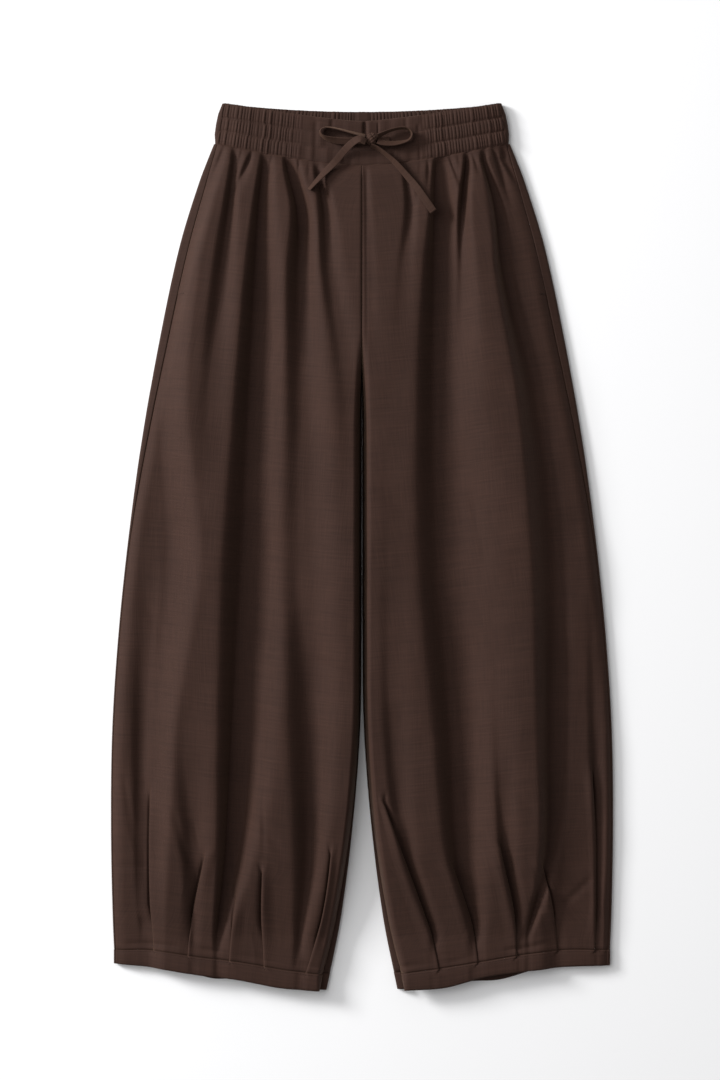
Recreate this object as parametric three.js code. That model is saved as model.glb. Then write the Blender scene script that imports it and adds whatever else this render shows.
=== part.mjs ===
// Shalwar trousers with balloon legs, laid flat on a table with the front side up.
// Four leg panels, a gathered waistband, a tied drawstring and turned hems with five tucks in each leg.
// Millimetres. +Z is up from the table, +Y points to the waist and +X to the wearer's left.
// The origin is on the table, under the middle of the garment's outline.
import * as THREE from 'three';

// Driving sizes.
const CLOTH = 1.0; // single cloth
const HEM_CLOTH = 1.6; // turned hem, two layers
const BAND_CLOTH = 2.6; // waistband, two layers over elastic
const SEAM_GAP = 0.4; // between pieces at a seam
const WAIST_TOP_HALF = 156; // half of the waistband's width at its top edge
const WAIST_SEAM_HALF = 163.5; // half of its width at the seam to the legs
const FOLD_RADIUS = 3.2; // of the cloth at the side folds
const LOWEST_FRONT = 8.2; // no fold of the front's comes nearer the table than this, and no tuck than 1 less

// The leg from the waist down: its inner and outer edge, and how far in from them the seams lie.
const LEG_OUTLINE = [
  { y: 444, inner: 0.2, outer: 163.5, inseamIn: 1.5, sideSeamIn: 4 },
  { y: 400, inner: 0.2, outer: 180.5, inseamIn: 1.5, sideSeamIn: 8 },
  { y: 329, inner: 0.2, outer: 202, inseamIn: 1.5, sideSeamIn: 10 },
  { y: 223, inner: 0.2, outer: 224.5, inseamIn: 1.5, sideSeamIn: 9 },
  { y: 118, inner: 0.3, outer: 243, inseamIn: 1.5, sideSeamIn: 6 },
  { y: 12, inner: 0.4, outer: 257.5, inseamIn: 1.5, sideSeamIn: 2 },
  { y: -93, inner: 0.5, outer: 268.5, inseamIn: 1.5, sideSeamIn: 1.5 },
  { y: -199, inner: 2, outer: 275.5, inseamIn: 1.5, sideSeamIn: 1.5 },
  { y: -305, inner: 10, outer: 277, inseamIn: 2, sideSeamIn: 1.5 },
  { y: -410, inner: 23.5, outer: 275, inseamIn: 5, sideSeamIn: 1.5 },
  { y: -489, inner: 39.5, outer: 271, inseamIn: 8, sideSeamIn: 1.5 },
];

// The hem's seam and its lower edge, from inseam to side seam in fifths, and how far the back hem hangs below.
const FIFTHS = [0, 0.2, 0.4, 0.6, 0.8, 1];
const HEM_SEAM = {
  left: [-469, -462.5, -455, -447.5, -443.5, -444],
  right: [-470, -464, -456, -450.5, -444, -444],
};
const HEM_EDGE = {
  left: [-487.3, -484, -472, -466, -462, -461],
  right: [-488, -484, -475.5, -470, -463, -459],
};
const BACK_HEM_DROP = {
  left: { deep: 8.5, at: 0.47, wide: 0.15 },
  right: { deep: 4.5, at: 0.53, wide: 0.1 },
};

// Levels down the leg at which the folds are given, from just under the band to just over the hem.
const LEVEL_Y = [426, 371, 300, 162, -14, -190, -333, -427];
const CROWN = [12.5, 20, 25, 30, 32, 31, 27, 16]; // height of the crests
const LEDGE = [10.5, 10.5, 10.5, 10.5, 10.5, 10.5, 10, 9.5]; // height of the flatter strip along the side
const FALL_WIDE = [4.5, 7, 10, 15, 21, 17, 12, 7]; // usual width of a fold's steeper side
// Where each leg's dome steps down to the strip along the side, and how widely.
const STEP = {
  left: { x: [140, 147, 160, 180, 199, 203, 206, 205], wide: [12, 12, 14, 17, 22, 18, 14, 12] },
  right: { x: [158, 176, 196, 208, 203, 225, 231, 228], wide: [10, 12, 15, 18, 22, 13, 10, 10] },
};
const EDGE_ROLL = { side: 14, inseam: 11 }; // widths over which the front rolls down to its edges

// The long folds. At each level: the line where it falls most steeply to its right, and its depth. fall and rise are
// the widths of its two sides, in shares of FALL_WIDE.
const LONG_FOLDS = {
  rightSideShort: {
    fall: 0.8,
    rise: 1.3,
    x: [-149, -150, -157, -173, -180, -189, -189, -189],
    deep: [5.5, 12, 8, 2.5, 0, 0, 0, 0],
  },
  rightOuter: {
    fall: 1.1,
    rise: 2.2,
    x: [-117, -110, -121, -125, -135, -142, -150, -163],
    deep: [2.5, 13.5, 19, 21.5, 23, 21.5, 17.5, 7],
  },
  rightInner: {
    fall: 0.8,
    rise: 2,
    x: [-87, -77, -71.5, -74, -71.5, -68, -64, -70],
    deep: [5.5, 17.5, 17.5, 13.5, 15, 15, 15, 7],
  },
  rightBow: {
    fall: 0.9,
    rise: 1.4,
    x: [-53, -44, -40, -21, -19, -19, -19, -19],
    deep: [1.5, 7, 5.5, 2.5, 0, 0, 0, 0],
  },
  rightCalf: {
    fall: 0.7,
    rise: 0.6,
    x: [-233, -233, -233, -233, -229, -241, -241, -240],
    deep: [0, 0, 0, 4, 5.5, 8, 7, 2.5],
  },
  rightShin: {
    fall: 0.7,
    rise: 1.2,
    x: [-199, -199, -199, -199, -199, -199, -191, -188],
    deep: [0, 0, 0, 0, 0, 4, 11, 8],
  },
  leftBow: {
    fall: 0.8,
    rise: 1,
    x: [44, 50, 42, 36, 36, 36, 36, 36],
    deep: [2.5, 7, 1.5, 0, 0, 0, 0, 0],
  },
  leftInner: {
    fall: 1,
    rise: 2.6,
    x: [88, 81, 74, 75, 79, 93.5, 100, 116],
    deep: [5.5, 19, 20, 19, 16, 19, 16, 4],
  },
  leftHip: {
    fall: 0.7,
    rise: 1.1,
    x: [114, 108, 108, 108, 108, 108, 108, 108],
    deep: [4, 9.5, 5.5, 0, 0, 0, 0, 0],
  },
  leftOuter: {
    fall: 0.9,
    rise: 1.8,
    x: [134, 147, 159.5, 180, 199, 201, 203.5, 183],
    deep: [4, 11, 12, 5.5, 5.5, 8, 9.5, 4],
  },
  leftSideShort: {
    fall: 0.8,
    rise: 1.2,
    x: [154, 187, 201, 221, 234, 234, 234, 234],
    deep: [2.5, 4, 4, 1.5, 0, 0, 0, 0],
  },
  leftSide: {
    fall: 0.5,
    rise: 0.8,
    x: [250, 250, 250, 250, 251, 253, 260, 260],
    deep: [0, 0, 0, 0, 0.5, 4, 5.5, 2.5],
  },
  leftShin: {
    fall: 0.6,
    rise: 1.2,
    x: [26, 26, 26, 26, 26, 29, 47, 73],
    deep: [0, 0, 0, 0, 1.5, 7, 8, 2.5],
  },
  leftMiddle: {
    fall: 0.6,
    rise: 1.2,
    x: [141, 141, 141, 141, 141, 144, 152, 168],
    deep: [0, 0, 0, 0, 0, 2.5, 7, 2.5],
  },
};

// Short gathers that run down from the waist seam: place, shift by the time they end, half width, depth and reach.
const WAIST_GATHERS = {
  left: [
    { at: 0.49, shift: -0.06, wide: 4, deep: 4, reach: 0.07 },
    { at: 0.61, shift: -0.04, wide: 3.5, deep: 3.5, reach: 0.05 },
    { at: 0.66, shift: -0.01, wide: 3, deep: 2, reach: 0.04 },
    { at: 0.77, shift: 0, wide: 3, deep: 2.5, reach: 0.05 },
    { at: 0.92, shift: 0.02, wide: 4, deep: 3.5, reach: 0.1 },
  ],
  right: [
    { at: 0.92, shift: 0.02, wide: 4, deep: 3.5, reach: 0.08 },
    { at: 0.76, shift: -0.03, wide: 3.5, deep: 3.5, reach: 0.07 },
    { at: 0.64, shift: 0, wide: 3, deep: 2, reach: 0.05 },
    { at: 0.49, shift: -0.06, wide: 4, deep: 4.5, reach: 0.1 },
    { at: 0.44, shift: -0.05, wide: 3, deep: 2.5, reach: 0.11 },
  ],
};

// The tucks: distance of the fold's edge from the centre line at these heights, and how far up it reaches.
const TUCK_Y = [-267, -333, -394, -443, -480];
const TUCKS = {
  left: [
    { x: [24, 45, 64.5, 79, 86], top: -262 },
    { x: [84, 93, 112, 125.5, 128], top: -340 },
    { x: [141, 148.5, 161.5, 169, 170], top: -318 },
    { x: [183, 190.5, 205, 214, 216], top: -342 },
    { x: [252.5, 256.5, 257, 257, 257], top: -240 },
  ],
  right: [
    { x: [31, 34, 43, 57, 70], top: -306 },
    { x: [113, 108, 109, 108, 107], top: -282 },
    { x: [128, 131, 138, 144.5, 147], top: -368 },
    { x: [162, 169, 181.5, 190, 192], top: -326 },
    { x: [231, 232.5, 232, 229.5, 229], top: -262 },
  ],
};
// One tuck's section, outwards from its fold edge: across and up while open, and stitched flat at the hem.
const TUCK_SECTION = [
  { name: 'lip', open: [-8, 0.6], shut: [-8, 0.2] },
  { name: 'edge', open: [0, 1.5], shut: [0, 1.6] },
  { name: 'return', open: [1.5, -3.4], shut: [-2.6, -1] },
  { name: 'floor', open: [5, -3.6], shut: [1.8, -1] },
  { name: 'rise', open: [13, -1.2], shut: [7, -0.4] },
];
const TUCK_ROOM = 28; // a tuck with less room than this beside it is narrower
const FILL_COLUMNS = 2; // columns of points between tucks
const HEM_DEEP = 18; // from the hem's seam to its edge
const HEM_DROP = 0.4; // of the front hem's height from its seam to its edge
const TUCK_FORMS = 62; // length over which a tuck forms
const TUCK_SHUTS = [-392, -446]; // heights between which it closes
const COLUMNS_FOLLOW = [0.42, 0.72]; // shares of the way down over which the columns come to follow the tucks
const TUCK_LEVELS = [432, -457]; // height at which the tucks' tables are read at the waist and at the hem's seam

// Rows of points down a leg, as shares of the way to the hem, closer where the gathers and tucks are.
const ROWS = [
  0, 0.02, 0.045, 0.075, 0.115, 0.165, 0.225, 0.29, 0.36, 0.44, 0.52, 0.6, 0.67, 0.73, 0.78, 0.82, 0.855, 0.885,
  0.912, 0.938, 0.96, 0.98, 1,
];
const BACK_COLUMNS = 8; // across the flat of a back panel
const CURL_POINTS = 4; // round each folded edge of a back panel

const mix = (a, b, k) => a + (b - a) * k;
const clamp = (v, low, high) => Math.min(high, Math.max(low, v));
const ease = (from, to, v) => {
  const k = clamp((v - from) / (to - from), 0, 1);
  return k * k * (3 - 2 * k);
};
const bell = (q) => Math.exp(-q * q);

// A smooth curve through the points (at[i], value[i]), with at rising.
function curveAt(at, value, x) {
  const last = at.length - 1;
  const v = clamp(x, at[0], at[last]);
  let i = 0;
  while (i < last - 1 && v > at[i + 1]) i += 1;
  const slope = (k) => {
    const a = Math.max(k - 1, 0);
    const b = Math.min(k + 1, last);
    return (value[b] - value[a]) / (at[b] - at[a]);
  };
  const step = at[i + 1] - at[i];
  const k = (v - at[i]) / step;
  const k2 = k * k;
  const k3 = k2 * k;
  return (
    (2 * k3 - 3 * k2 + 1) * value[i] +
    (k3 - 2 * k2 + k) * step * slope(i) +
    (3 * k2 - 2 * k3) * value[i + 1] +
    (k3 - k2) * step * slope(i + 1)
  );
}

const falling = (at, values, y) =>
  curveAt(
    at.map((v) => -v),
    values,
    -y,
  );
const atLevel = (values, y) => falling(LEVEL_Y, values, y);
const outlineUp = [...LEG_OUTLINE].reverse();
const outlineYs = outlineUp.map((row) => row.y);
const outline = (column, y) =>
  curveAt(
    outlineYs,
    outlineUp.map((row) => row[column]),
    y,
  );

// The curved lines across a leg, from the centre or inseam (t = 0) to the side seam (t = 1).
const frontWaistY = (t) => 420 + 24 * Math.pow(t, 1.5);
const backWaistY = (t) => 434 + 10 * t * t;
const hemSeamY = (leg, t) => curveAt(FIFTHS, HEM_SEAM[leg], t);
const frontHemY = (leg, t) => curveAt(FIFTHS, HEM_EDGE[leg], t);
const backHemY = (leg, t) => {
  const { deep, at, wide } = BACK_HEM_DROP[leg];
  return frontHemY(leg, t) - deep * bell((t - at) / wide);
};
const frontBandTopY = (q) => 467.5 + 20.5 * Math.pow(q, 1.3);
const backBandTopY = (q) => 479.5 + 8.5 * q * q;

const legsPart = (s) => ease(0.2, 0.33, s); // 0 above the crotch, 1 where the legs are apart
const innerLean = (leg) => outline('inner', frontHemY(leg, 0)) - outline('inner', hemSeamY(leg, 0));

// How far a folded edge turns: the angle and height that bring its seam `seamIn` back from the edge.
function turn(seamIn) {
  const r = FOLD_RADIUS;
  const angle = seamIn < r ? Math.PI - Math.asin((r - seamIn) / r) : Math.PI;
  return { angle, straight: Math.max(0, seamIn - r), height: r * (1 - Math.cos(angle)) };
}

// The edges of the front panel at share s of the way down, and past of the way down the hem.
function frontEdges(leg, s, past = 0) {
  const innerY = mix(frontWaistY(0), hemSeamY(leg, 0), s);
  const outerY = mix(frontWaistY(1), hemSeamY(leg, 1), s);
  const inseamIn = outline('inseamIn', innerY);
  const sideSeamIn = outline('sideSeamIn', outerY);
  const apart = outline('inner', innerY) + past * innerLean(leg) + CLOTH / 2 + inseamIn;
  return {
    inner: mix(SEAM_GAP / 2, apart, legsPart(s)),
    outer: outline('outer', outerY) - CLOTH / 2 - sideSeamIn,
    innerZ: CLOTH / 2 + turn(inseamIn).height,
    outerZ: CLOTH / 2 + turn(sideSeamIn).height,
  };
}

// The front's height: a dome as high as the crests that steps down to a flatter strip along the side and rolls down at
// both edges, less the long folds and the gathers. The folds of both legs count, so that these meet at the centre seam.
function frontHeight(leg, s, x, y) {
  const edges = frontEdges(leg, s);
  const across = Math.abs(x);
  const step = ease(-1, 1, (atLevel(STEP[leg].x, y) - across) / atLevel(STEP[leg].wide, y));
  const sideRoll = 1 - Math.pow(1 - clamp((edges.outer - across) / EDGE_ROLL.side, 0, 1), 2.2);
  const fromInner = clamp((across - edges.inner) / EDGE_ROLL.inseam, 0, 1);
  const innerRoll = mix(1, 1 - Math.pow(1 - fromInner, 2.2), legsPart(s));
  let z = edges.outerZ + (mix(atLevel(LEDGE, y), atLevel(CROWN, y), step) - edges.outerZ) * sideRoll;
  for (const fold of Object.values(LONG_FOLDS)) {
    const fall = fold.fall * atLevel(FALL_WIDE, y);
    const d = x - atLevel(fold.x, y) - 0.7 * fall;
    const wide = d < 0 ? fall : fold.rise * atLevel(FALL_WIDE, y);
    z -= Math.max(0, atLevel(fold.deep, y)) * bell(d / wide) * sideRoll;
  }
  for (const [side, sign] of [['left', 1], ['right', -1]]) {
    for (const gather of WAIST_GATHERS[side]) {
      const k = clamp(s / gather.reach, 0, 1);
      const d = x - sign * mix(edges.inner, edges.outer, gather.at + gather.shift * k);
      z -= gather.deep * (1 - k * k) * bell(d / (gather.wide * (0.7 + k)));
    }
  }
  z = edges.innerZ + (z - edges.innerZ) * innerRoll;
  const over = z - LOWEST_FRONT;
  const held = LOWEST_FRONT + (over + Math.sqrt(over * over + 3)) / 2;
  const fromEdge = Math.min((edges.outer - across) / 10, mix(1, (across - edges.inner) / 6, legsPart(s)));
  return mix(z, held, clamp(fromEdge, 0, 1));
}

// The columns of points across a front panel: the points of each tuck's section and FILL_COLUMNS between tucks.
const frontColumns = [];
for (let tuck = 0; tuck <= TUCKS.left.length; tuck += 1) {
  const first = tuck === 0;
  const last = tuck === TUCKS.left.length;
  for (let k = first ? 0 : 1; k <= FILL_COLUMNS + (last ? 1 : 0); k += 1) {
    frontColumns.push({ tuck, share: k / (FILL_COLUMNS + 1) });
  }
  if (!last) TUCK_SECTION.forEach((section) => frontColumns.push({ tuck, section }));
}

// A row of points of a front panel, from its inner edge to its side seam: s of the way down the panel, and past of the
// way down the hem below it.
function frontRow(leg, s, past = 0) {
  const sign = leg === 'left' ? 1 : -1;
  const edges = frontEdges(leg, s, past);
  const y0 = mix(...TUCK_LEVELS, s) - HEM_DEEP * past;
  const shut = ease(...TUCK_SHUTS, y0);
  const lines = TUCKS[leg].map((tuck) => falling(TUCK_Y, tuck.x, y0));
  const ends = [edges.inner, ...lines, edges.outer];
  const points = TUCKS[leg].map((tuck, i) => {
    const room = Math.min(ends[i + 1] - ends[i], ends[i + 2] - ends[i + 1]);
    const fit = mix(Math.min(1, room / TUCK_ROOM), 1, shut);
    const formed = ease(tuck.top, tuck.top - TUCK_FORMS, y0);
    const along = (k, section) => mix(section.open[k], section.shut[k], shut);
    return TUCK_SECTION.map((section) => [lines[i] + fit * along(0, section), along(1, section) * formed]);
  });
  const starts = [edges.inner, ...points.map((tuck) => tuck[tuck.length - 1][0])];
  const stops = [...points.map((tuck) => tuck[0][0]), edges.outer];
  return frontColumns.map(({ tuck, share, section }, i) => {
    const [tucked, up] = section
      ? points[tuck][TUCK_SECTION.indexOf(section)]
      : [mix(starts[tuck], stops[tuck], share), 0];
    const even = mix(edges.inner, edges.outer, i / (frontColumns.length - 1));
    const across = mix(even, tucked, ease(...COLUMNS_FOLLOW, s));
    const t = clamp((across - edges.inner) / (edges.outer - edges.inner), 0, 1);
    const y = mix(mix(frontWaistY(t), hemSeamY(leg, t), s), frontHemY(leg, t), past);
    const height = Math.max(frontHeight(leg, s, sign * across, y) + up, LOWEST_FRONT - 1);
    return new THREE.Vector3(sign * across, y, height - HEM_DROP * past);
  });
}

// A curl of cloth from the flat up round a folded edge: points as [across, up], the last at the seam.
function curl(seamIn, strength) {
  const { angle, straight } = turn(seamIn);
  const r = FOLD_RADIUS;
  const bent = r * angle;
  const points = [];
  for (let j = 0; j <= CURL_POINTS; j += 1) {
    const along = ((bent + straight) * j) / CURL_POINTS;
    const theta = (strength * Math.min(along, bent)) / r;
    const beyond = Math.max(0, along - bent);
    const bow = strength > 0.01 ? r / strength : 0;
    const x = (bow ? bow * Math.sin(theta) : Math.min(along, bent)) + beyond * Math.cos(theta);
    const z = (bow ? bow * (1 - Math.cos(theta)) : 0) + beyond * Math.sin(theta);
    points.push([x, z]);
  }
  return points;
}

// One row of a back panel or back hem, from its inner seam to its side seam.
function backRow(leg, s, yAt, thick, past = 0) {
  const sign = leg === 'left' ? 1 : -1;
  const floor = thick / 2;
  const apart = legsPart(s);
  const leanIn = past * innerLean(leg);
  const [innerAt, outerAt] = thick === HEM_CLOTH ? [hemSeamY(leg, 0), hemSeamY(leg, 1)] : [yAt(0), yAt(1)];
  const inner = mix(SEAM_GAP / 2, outline('inner', innerAt) + leanIn + CLOTH / 2, apart);
  const outer = outline('outer', outerAt) - CLOTH / 2;
  const inCurl = curl(outline('inseamIn', innerAt), apart);
  const outCurl = curl(outline('sideSeamIn', outerAt), 1);
  const inReach = Math.max(...inCurl.map((p) => p[0]));
  const outReach = Math.max(...outCurl.map((p) => p[0]));
  const row = inCurl.map(([x, z]) => [inner + inReach - x, floor + z]).reverse();
  const from = inner + inReach;
  const to = outer - outReach;
  for (let j = 1; j < BACK_COLUMNS; j += 1) row.push([mix(from, to, j / BACK_COLUMNS), floor]);
  outCurl.forEach(([x, z]) => row.push([to + x, floor + z]));
  return row.map(([x, z]) => new THREE.Vector3(sign * x, yAt(clamp((x - from) / (to - from), 0, 1)), z));
}

// Normals of a grid of points, longer at sharp folds so that the wall keeps its thickness there. Those of the first
// and last row have no Y, so that the edges at the seams across the leg stand upright.
function gridNormals(grid) {
  const rows = grid.length;
  const columns = grid[0].length;
  const faces = [];
  for (let i = 0; i < rows - 1; i += 1) {
    faces.push([]);
    for (let j = 0; j < columns - 1; j += 1) {
      const a = new THREE.Vector3().subVectors(grid[i + 1][j + 1], grid[i][j]);
      const b = new THREE.Vector3().subVectors(grid[i][j + 1], grid[i + 1][j]);
      faces[i].push(a.cross(b).normalize());
    }
  }
  return grid.map((row, i) =>
    row.map((point, j) => {
      const sum = new THREE.Vector3();
      let count = 0;
      for (const fi of [i - 1, i]) {
        for (const fj of [j - 1, j]) {
          const face = faces[fi]?.[fj];
          if (!face) continue;
          sum.add(face);
          count += 1;
        }
      }
      const length = sum.length() / count;
      if (i === 0 || i === rows - 1) sum.setY(0);
      return sum.normalize().multiplyScalar(Math.min(1.5, 1 / length));
    }),
  );
}

const evenly = (count) => Array.from({ length: count }, (_, i) => i / (count - 1));

// The closed solid between an upper and a lower grid of points, which may differ in their rows and columns. The
// marks say where each grid's columns and rows lie, so that the rim joins points that are level with each other.
function solidBetween(upper, lower, marks = {}) {
  const across = marks.across ?? [evenly(upper[0].length), evenly(lower[0].length)];
  const down = marks.down ?? [evenly(upper.length), evenly(lower.length)];
  const positions = [];
  const add = (grid) => grid.map((row) => row.map((p) => positions.push(p.x, p.y, p.z) / 3 - 1));
  const top = add(upper);
  const bottom = add(lower);
  const index = [];
  const faces = (ids, flip) => {
    for (let i = 0; i < ids.length - 1; i += 1) {
      for (let j = 0; j < ids[0].length - 1; j += 1) {
        const [a, b, c, d] = [ids[i][j], ids[i + 1][j], ids[i + 1][j + 1], ids[i][j + 1]];
        if (flip) index.push(a, c, b, a, d, c);
        else index.push(a, b, c, a, c, d);
      }
    }
  };
  const rim = (ids) => {
    const last = ids[0].length - 1;
    const left = ids.map((row) => row[0]);
    const right = ids.map((row) => row[last]).reverse();
    return [left, ids[ids.length - 1], right, [...ids[0]].reverse()];
  };
  const stitch = (over, under, [overMarks, underMarks]) => {
    let i = 0;
    let j = 0;
    while (i < over.length - 1 || j < under.length - 1) {
      const underDone = j === under.length - 1;
      if (underDone || (i < over.length - 1 && overMarks[i + 1] <= underMarks[j + 1])) {
        index.push(over[i], under[j], over[i + 1]);
        i += 1;
      } else {
        index.push(over[i], under[j], under[j + 1]);
        j += 1;
      }
    }
  };
  faces(top, false);
  faces(bottom, true);
  const topRim = rim(top);
  const bottomRim = rim(bottom);
  const backwards = (pair) => pair.map((list) => list.map((mark) => -mark).reverse());
  const rimMarks = [down, across, backwards(down), backwards(across)];
  topRim.forEach((edge, k) => stitch(edge, bottomRim[k], rimMarks[k]));
  const geometry = new THREE.BufferGeometry();
  geometry.setAttribute('position', new THREE.Float32BufferAttribute(positions, 3));
  geometry.setIndex(index);
  geometry.computeVertexNormals();
  return geometry;
}

// A wall of cloth on a grid of points whose columns run with +X. turned gives the normal at its first and last column.
function clothWall(grid, thick, turned = {}) {
  const normals = gridNormals(grid);
  normals.forEach((row) => {
    if (turned.first) row[0].copy(turned.first);
    if (turned.last) row[row.length - 1].copy(turned.last);
  });
  const move = (row, i, share) => row.map((p, j) => p.clone().addScaledVector(normals[i][j], share));
  const moved = (share) => grid.map((row, i) => move(row, i, share));
  return solidBetween(moved(thick / 2), moved(-thick / 2));
}

const fabric = new THREE.MeshStandardMaterial({ color: 0x43302a, roughness: 0.9, metalness: 0 });
const insideFabric = new THREE.MeshStandardMaterial({ color: 0x392722, roughness: 0.92, metalness: 0 });
const tapeFabric = new THREE.MeshStandardMaterial({ color: 0x453430, roughness: 0.88, metalness: 0 });
const trousers = new THREE.Group();

function addPiece(name, geometry, material) {
  const mesh = new THREE.Mesh(geometry, material);
  mesh.name = name;
  trousers.add(mesh);
}

const UP = new THREE.Vector3(0, 0, 1);
const withPlusX = (leg, row) => (leg === 'left' ? row : [...row].reverse());

function frontPanel(leg) {
  const grid = ROWS.map((s) => {
    const row = frontRow(leg, s);
    row.forEach((p) => {
      if (s === 1) p.y += 1.3 * SEAM_GAP;
    });
    return withPlusX(leg, row);
  });
  return clothWall(grid, CLOTH, { first: UP, last: UP });
}

function frontHem(leg) {
  const grid = [0, 0.5, 1].map((past) => withPlusX(leg, frontRow(leg, 1, past)));
  return clothWall(grid, HEM_CLOTH, { first: UP, last: UP });
}

// Pulls a back piece's seam edges back from the front's by the seam gap.
function openSeams(leg, row, apart) {
  const sign = leg === 'left' ? 1 : -1;
  row[0].x = sign * Math.max(SEAM_GAP / 2, sign * row[0].x - SEAM_GAP * apart);
  row[row.length - 1].x += sign * SEAM_GAP;
  return row;
}

function backPanel(leg) {
  return ROWS.map((s) => {
    const yAt = (t) => mix(backWaistY(t), hemSeamY(leg, t), s) + (s === 1 ? SEAM_GAP : 0);
    return withPlusX(leg, openSeams(leg, backRow(leg, s, yAt, CLOTH), legsPart(s)));
  });
}

function backHem(leg) {
  return [0, 0.5, 1].map((past) => {
    const yAt = (t) => mix(hemSeamY(leg, t), backHemY(leg, t), past);
    return withPlusX(leg, openSeams(leg, backRow(leg, 1, yAt, HEM_CLOTH, past), 1));
  });
}

// A back piece's wall: its seam edges stand upright like the front's, so the two end faces lie side by side.
function backWall(leg, grid, thick) {
  const down = new THREE.Vector3(0, 0, -1);
  const outerEnd = leg === 'left' ? 'last' : 'first';
  const normals = gridNormals(grid);
  const lastColumn = grid[0].length - 1;
  normals.forEach((row, i) => {
    const outerColumn = outerEnd === 'last' ? lastColumn : 0;
    const innerColumn = lastColumn - outerColumn;
    row[outerColumn].copy(down);
    if (grid[i][innerColumn].z > FOLD_RADIUS) row[innerColumn].copy(down);
  });
  const sign = leg === 'left' ? 1 : -1;
  const moved = (share) =>
    grid.map((row, i) =>
      row.map((p, j) => {
        const q = p.clone().addScaledVector(normals[i][j], share);
        return q.setX(sign * Math.max(SEAM_GAP / 2, sign * q.x));
      }),
    );
  return solidBetween(moved(thick / 2), moved(-thick / 2));
}

// Waistband: three channels of elastic between rows of stitching.
const BAND_ROWS = [0, 0.165, 0.333, 0.5, 0.667, 0.835, 1];
const BAND_PUFF = [-0.2, 0.5, -0.45, 0.5, -0.45, 0.5, -0.4]; // over and under the band's face, by row
const BAND_RIB = [0.35, 0.5, 0.3, 0.5, 0.3, 0.5, 0.3]; // height of the gathers, by row
const FLAT_FRONT_HALF = 72; // the front is plain between its gathered sides
const FRONT_GATHERS = 25; // at each side of the front
const BACK_GATHERS = 76; // across the back
const BACK_FLAT_HALF = 6; // plain spot at the centre back

const bandHalf = (v) => mix(WAIST_TOP_HALF, WAIST_SEAM_HALF, v);

function bandHeight(x, v) {
  const fromSide = clamp((bandHalf(v) - Math.abs(x)) / 40, 0, 1);
  const edge = CLOTH / 2 + turn(LEG_OUTLINE[0].sideSeamIn).height;
  return edge + (CROWN[0] - edge) * (1 - Math.pow(1 - fromSide, 2.2));
}

// Columns across the front band as shares of its half width, with +1 on a crest and -1 in a furrow.
function frontBandColumns() {
  const side = [];
  for (let k = 0; k <= 2 * FRONT_GATHERS; k += 1) {
    const share = mix(FLAT_FRONT_HALF / WAIST_TOP_HALF, 1, k / (2 * FRONT_GATHERS));
    side.push({ q: share, rib: k === 0 || k === 2 * FRONT_GATHERS ? 0 : k % 2 ? 1 : -1 });
  }
  const plain = [];
  for (let k = -4; k <= 4; k += 1) plain.push({ q: (k / 5) * (FLAT_FRONT_HALF / WAIST_TOP_HALF), rib: 0 });
  const mirrored = side.map(({ q, rib }) => ({ q: -q, rib })).reverse();
  return [...mirrored, ...plain, ...side];
}

function bandFront() {
  const inset = LEG_OUTLINE[0].sideSeamIn + BAND_CLOTH / 2 + SEAM_GAP / 2;
  const place = (q, v) => {
    const t = Math.abs(q);
    const x = q * (bandHalf(v) - inset);
    const y = mix(frontBandTopY(t), frontWaistY(t) + SEAM_GAP, v);
    return new THREE.Vector3(x, y, bandHeight(x, v));
  };
  const columns = frontBandColumns();
  const upper = BAND_ROWS.map((v, i) =>
    columns.map(({ q, rib }) => {
      const gathered = ease(0.4, 0.5, Math.abs(q));
      const up = BAND_PUFF[i] * mix(0.4, 1, gathered) + BAND_RIB[i] * rib;
      return place(q, v).addScaledVector(UP, BAND_CLOTH / 2 + up);
    }),
  );
  const under = [];
  for (let k = 0; k <= 16; k += 1) under.push(k / 8 - 1);
  const underRows = [0, 0.5, 1];
  const lower = underRows.map((v) => under.map((q) => place(q, v).addScaledVector(UP, -BAND_CLOTH / 2)));
  return solidBetween(upper, lower, { across: [columns.map((c) => c.q), under], down: [BAND_ROWS, underRows] });
}

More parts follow.
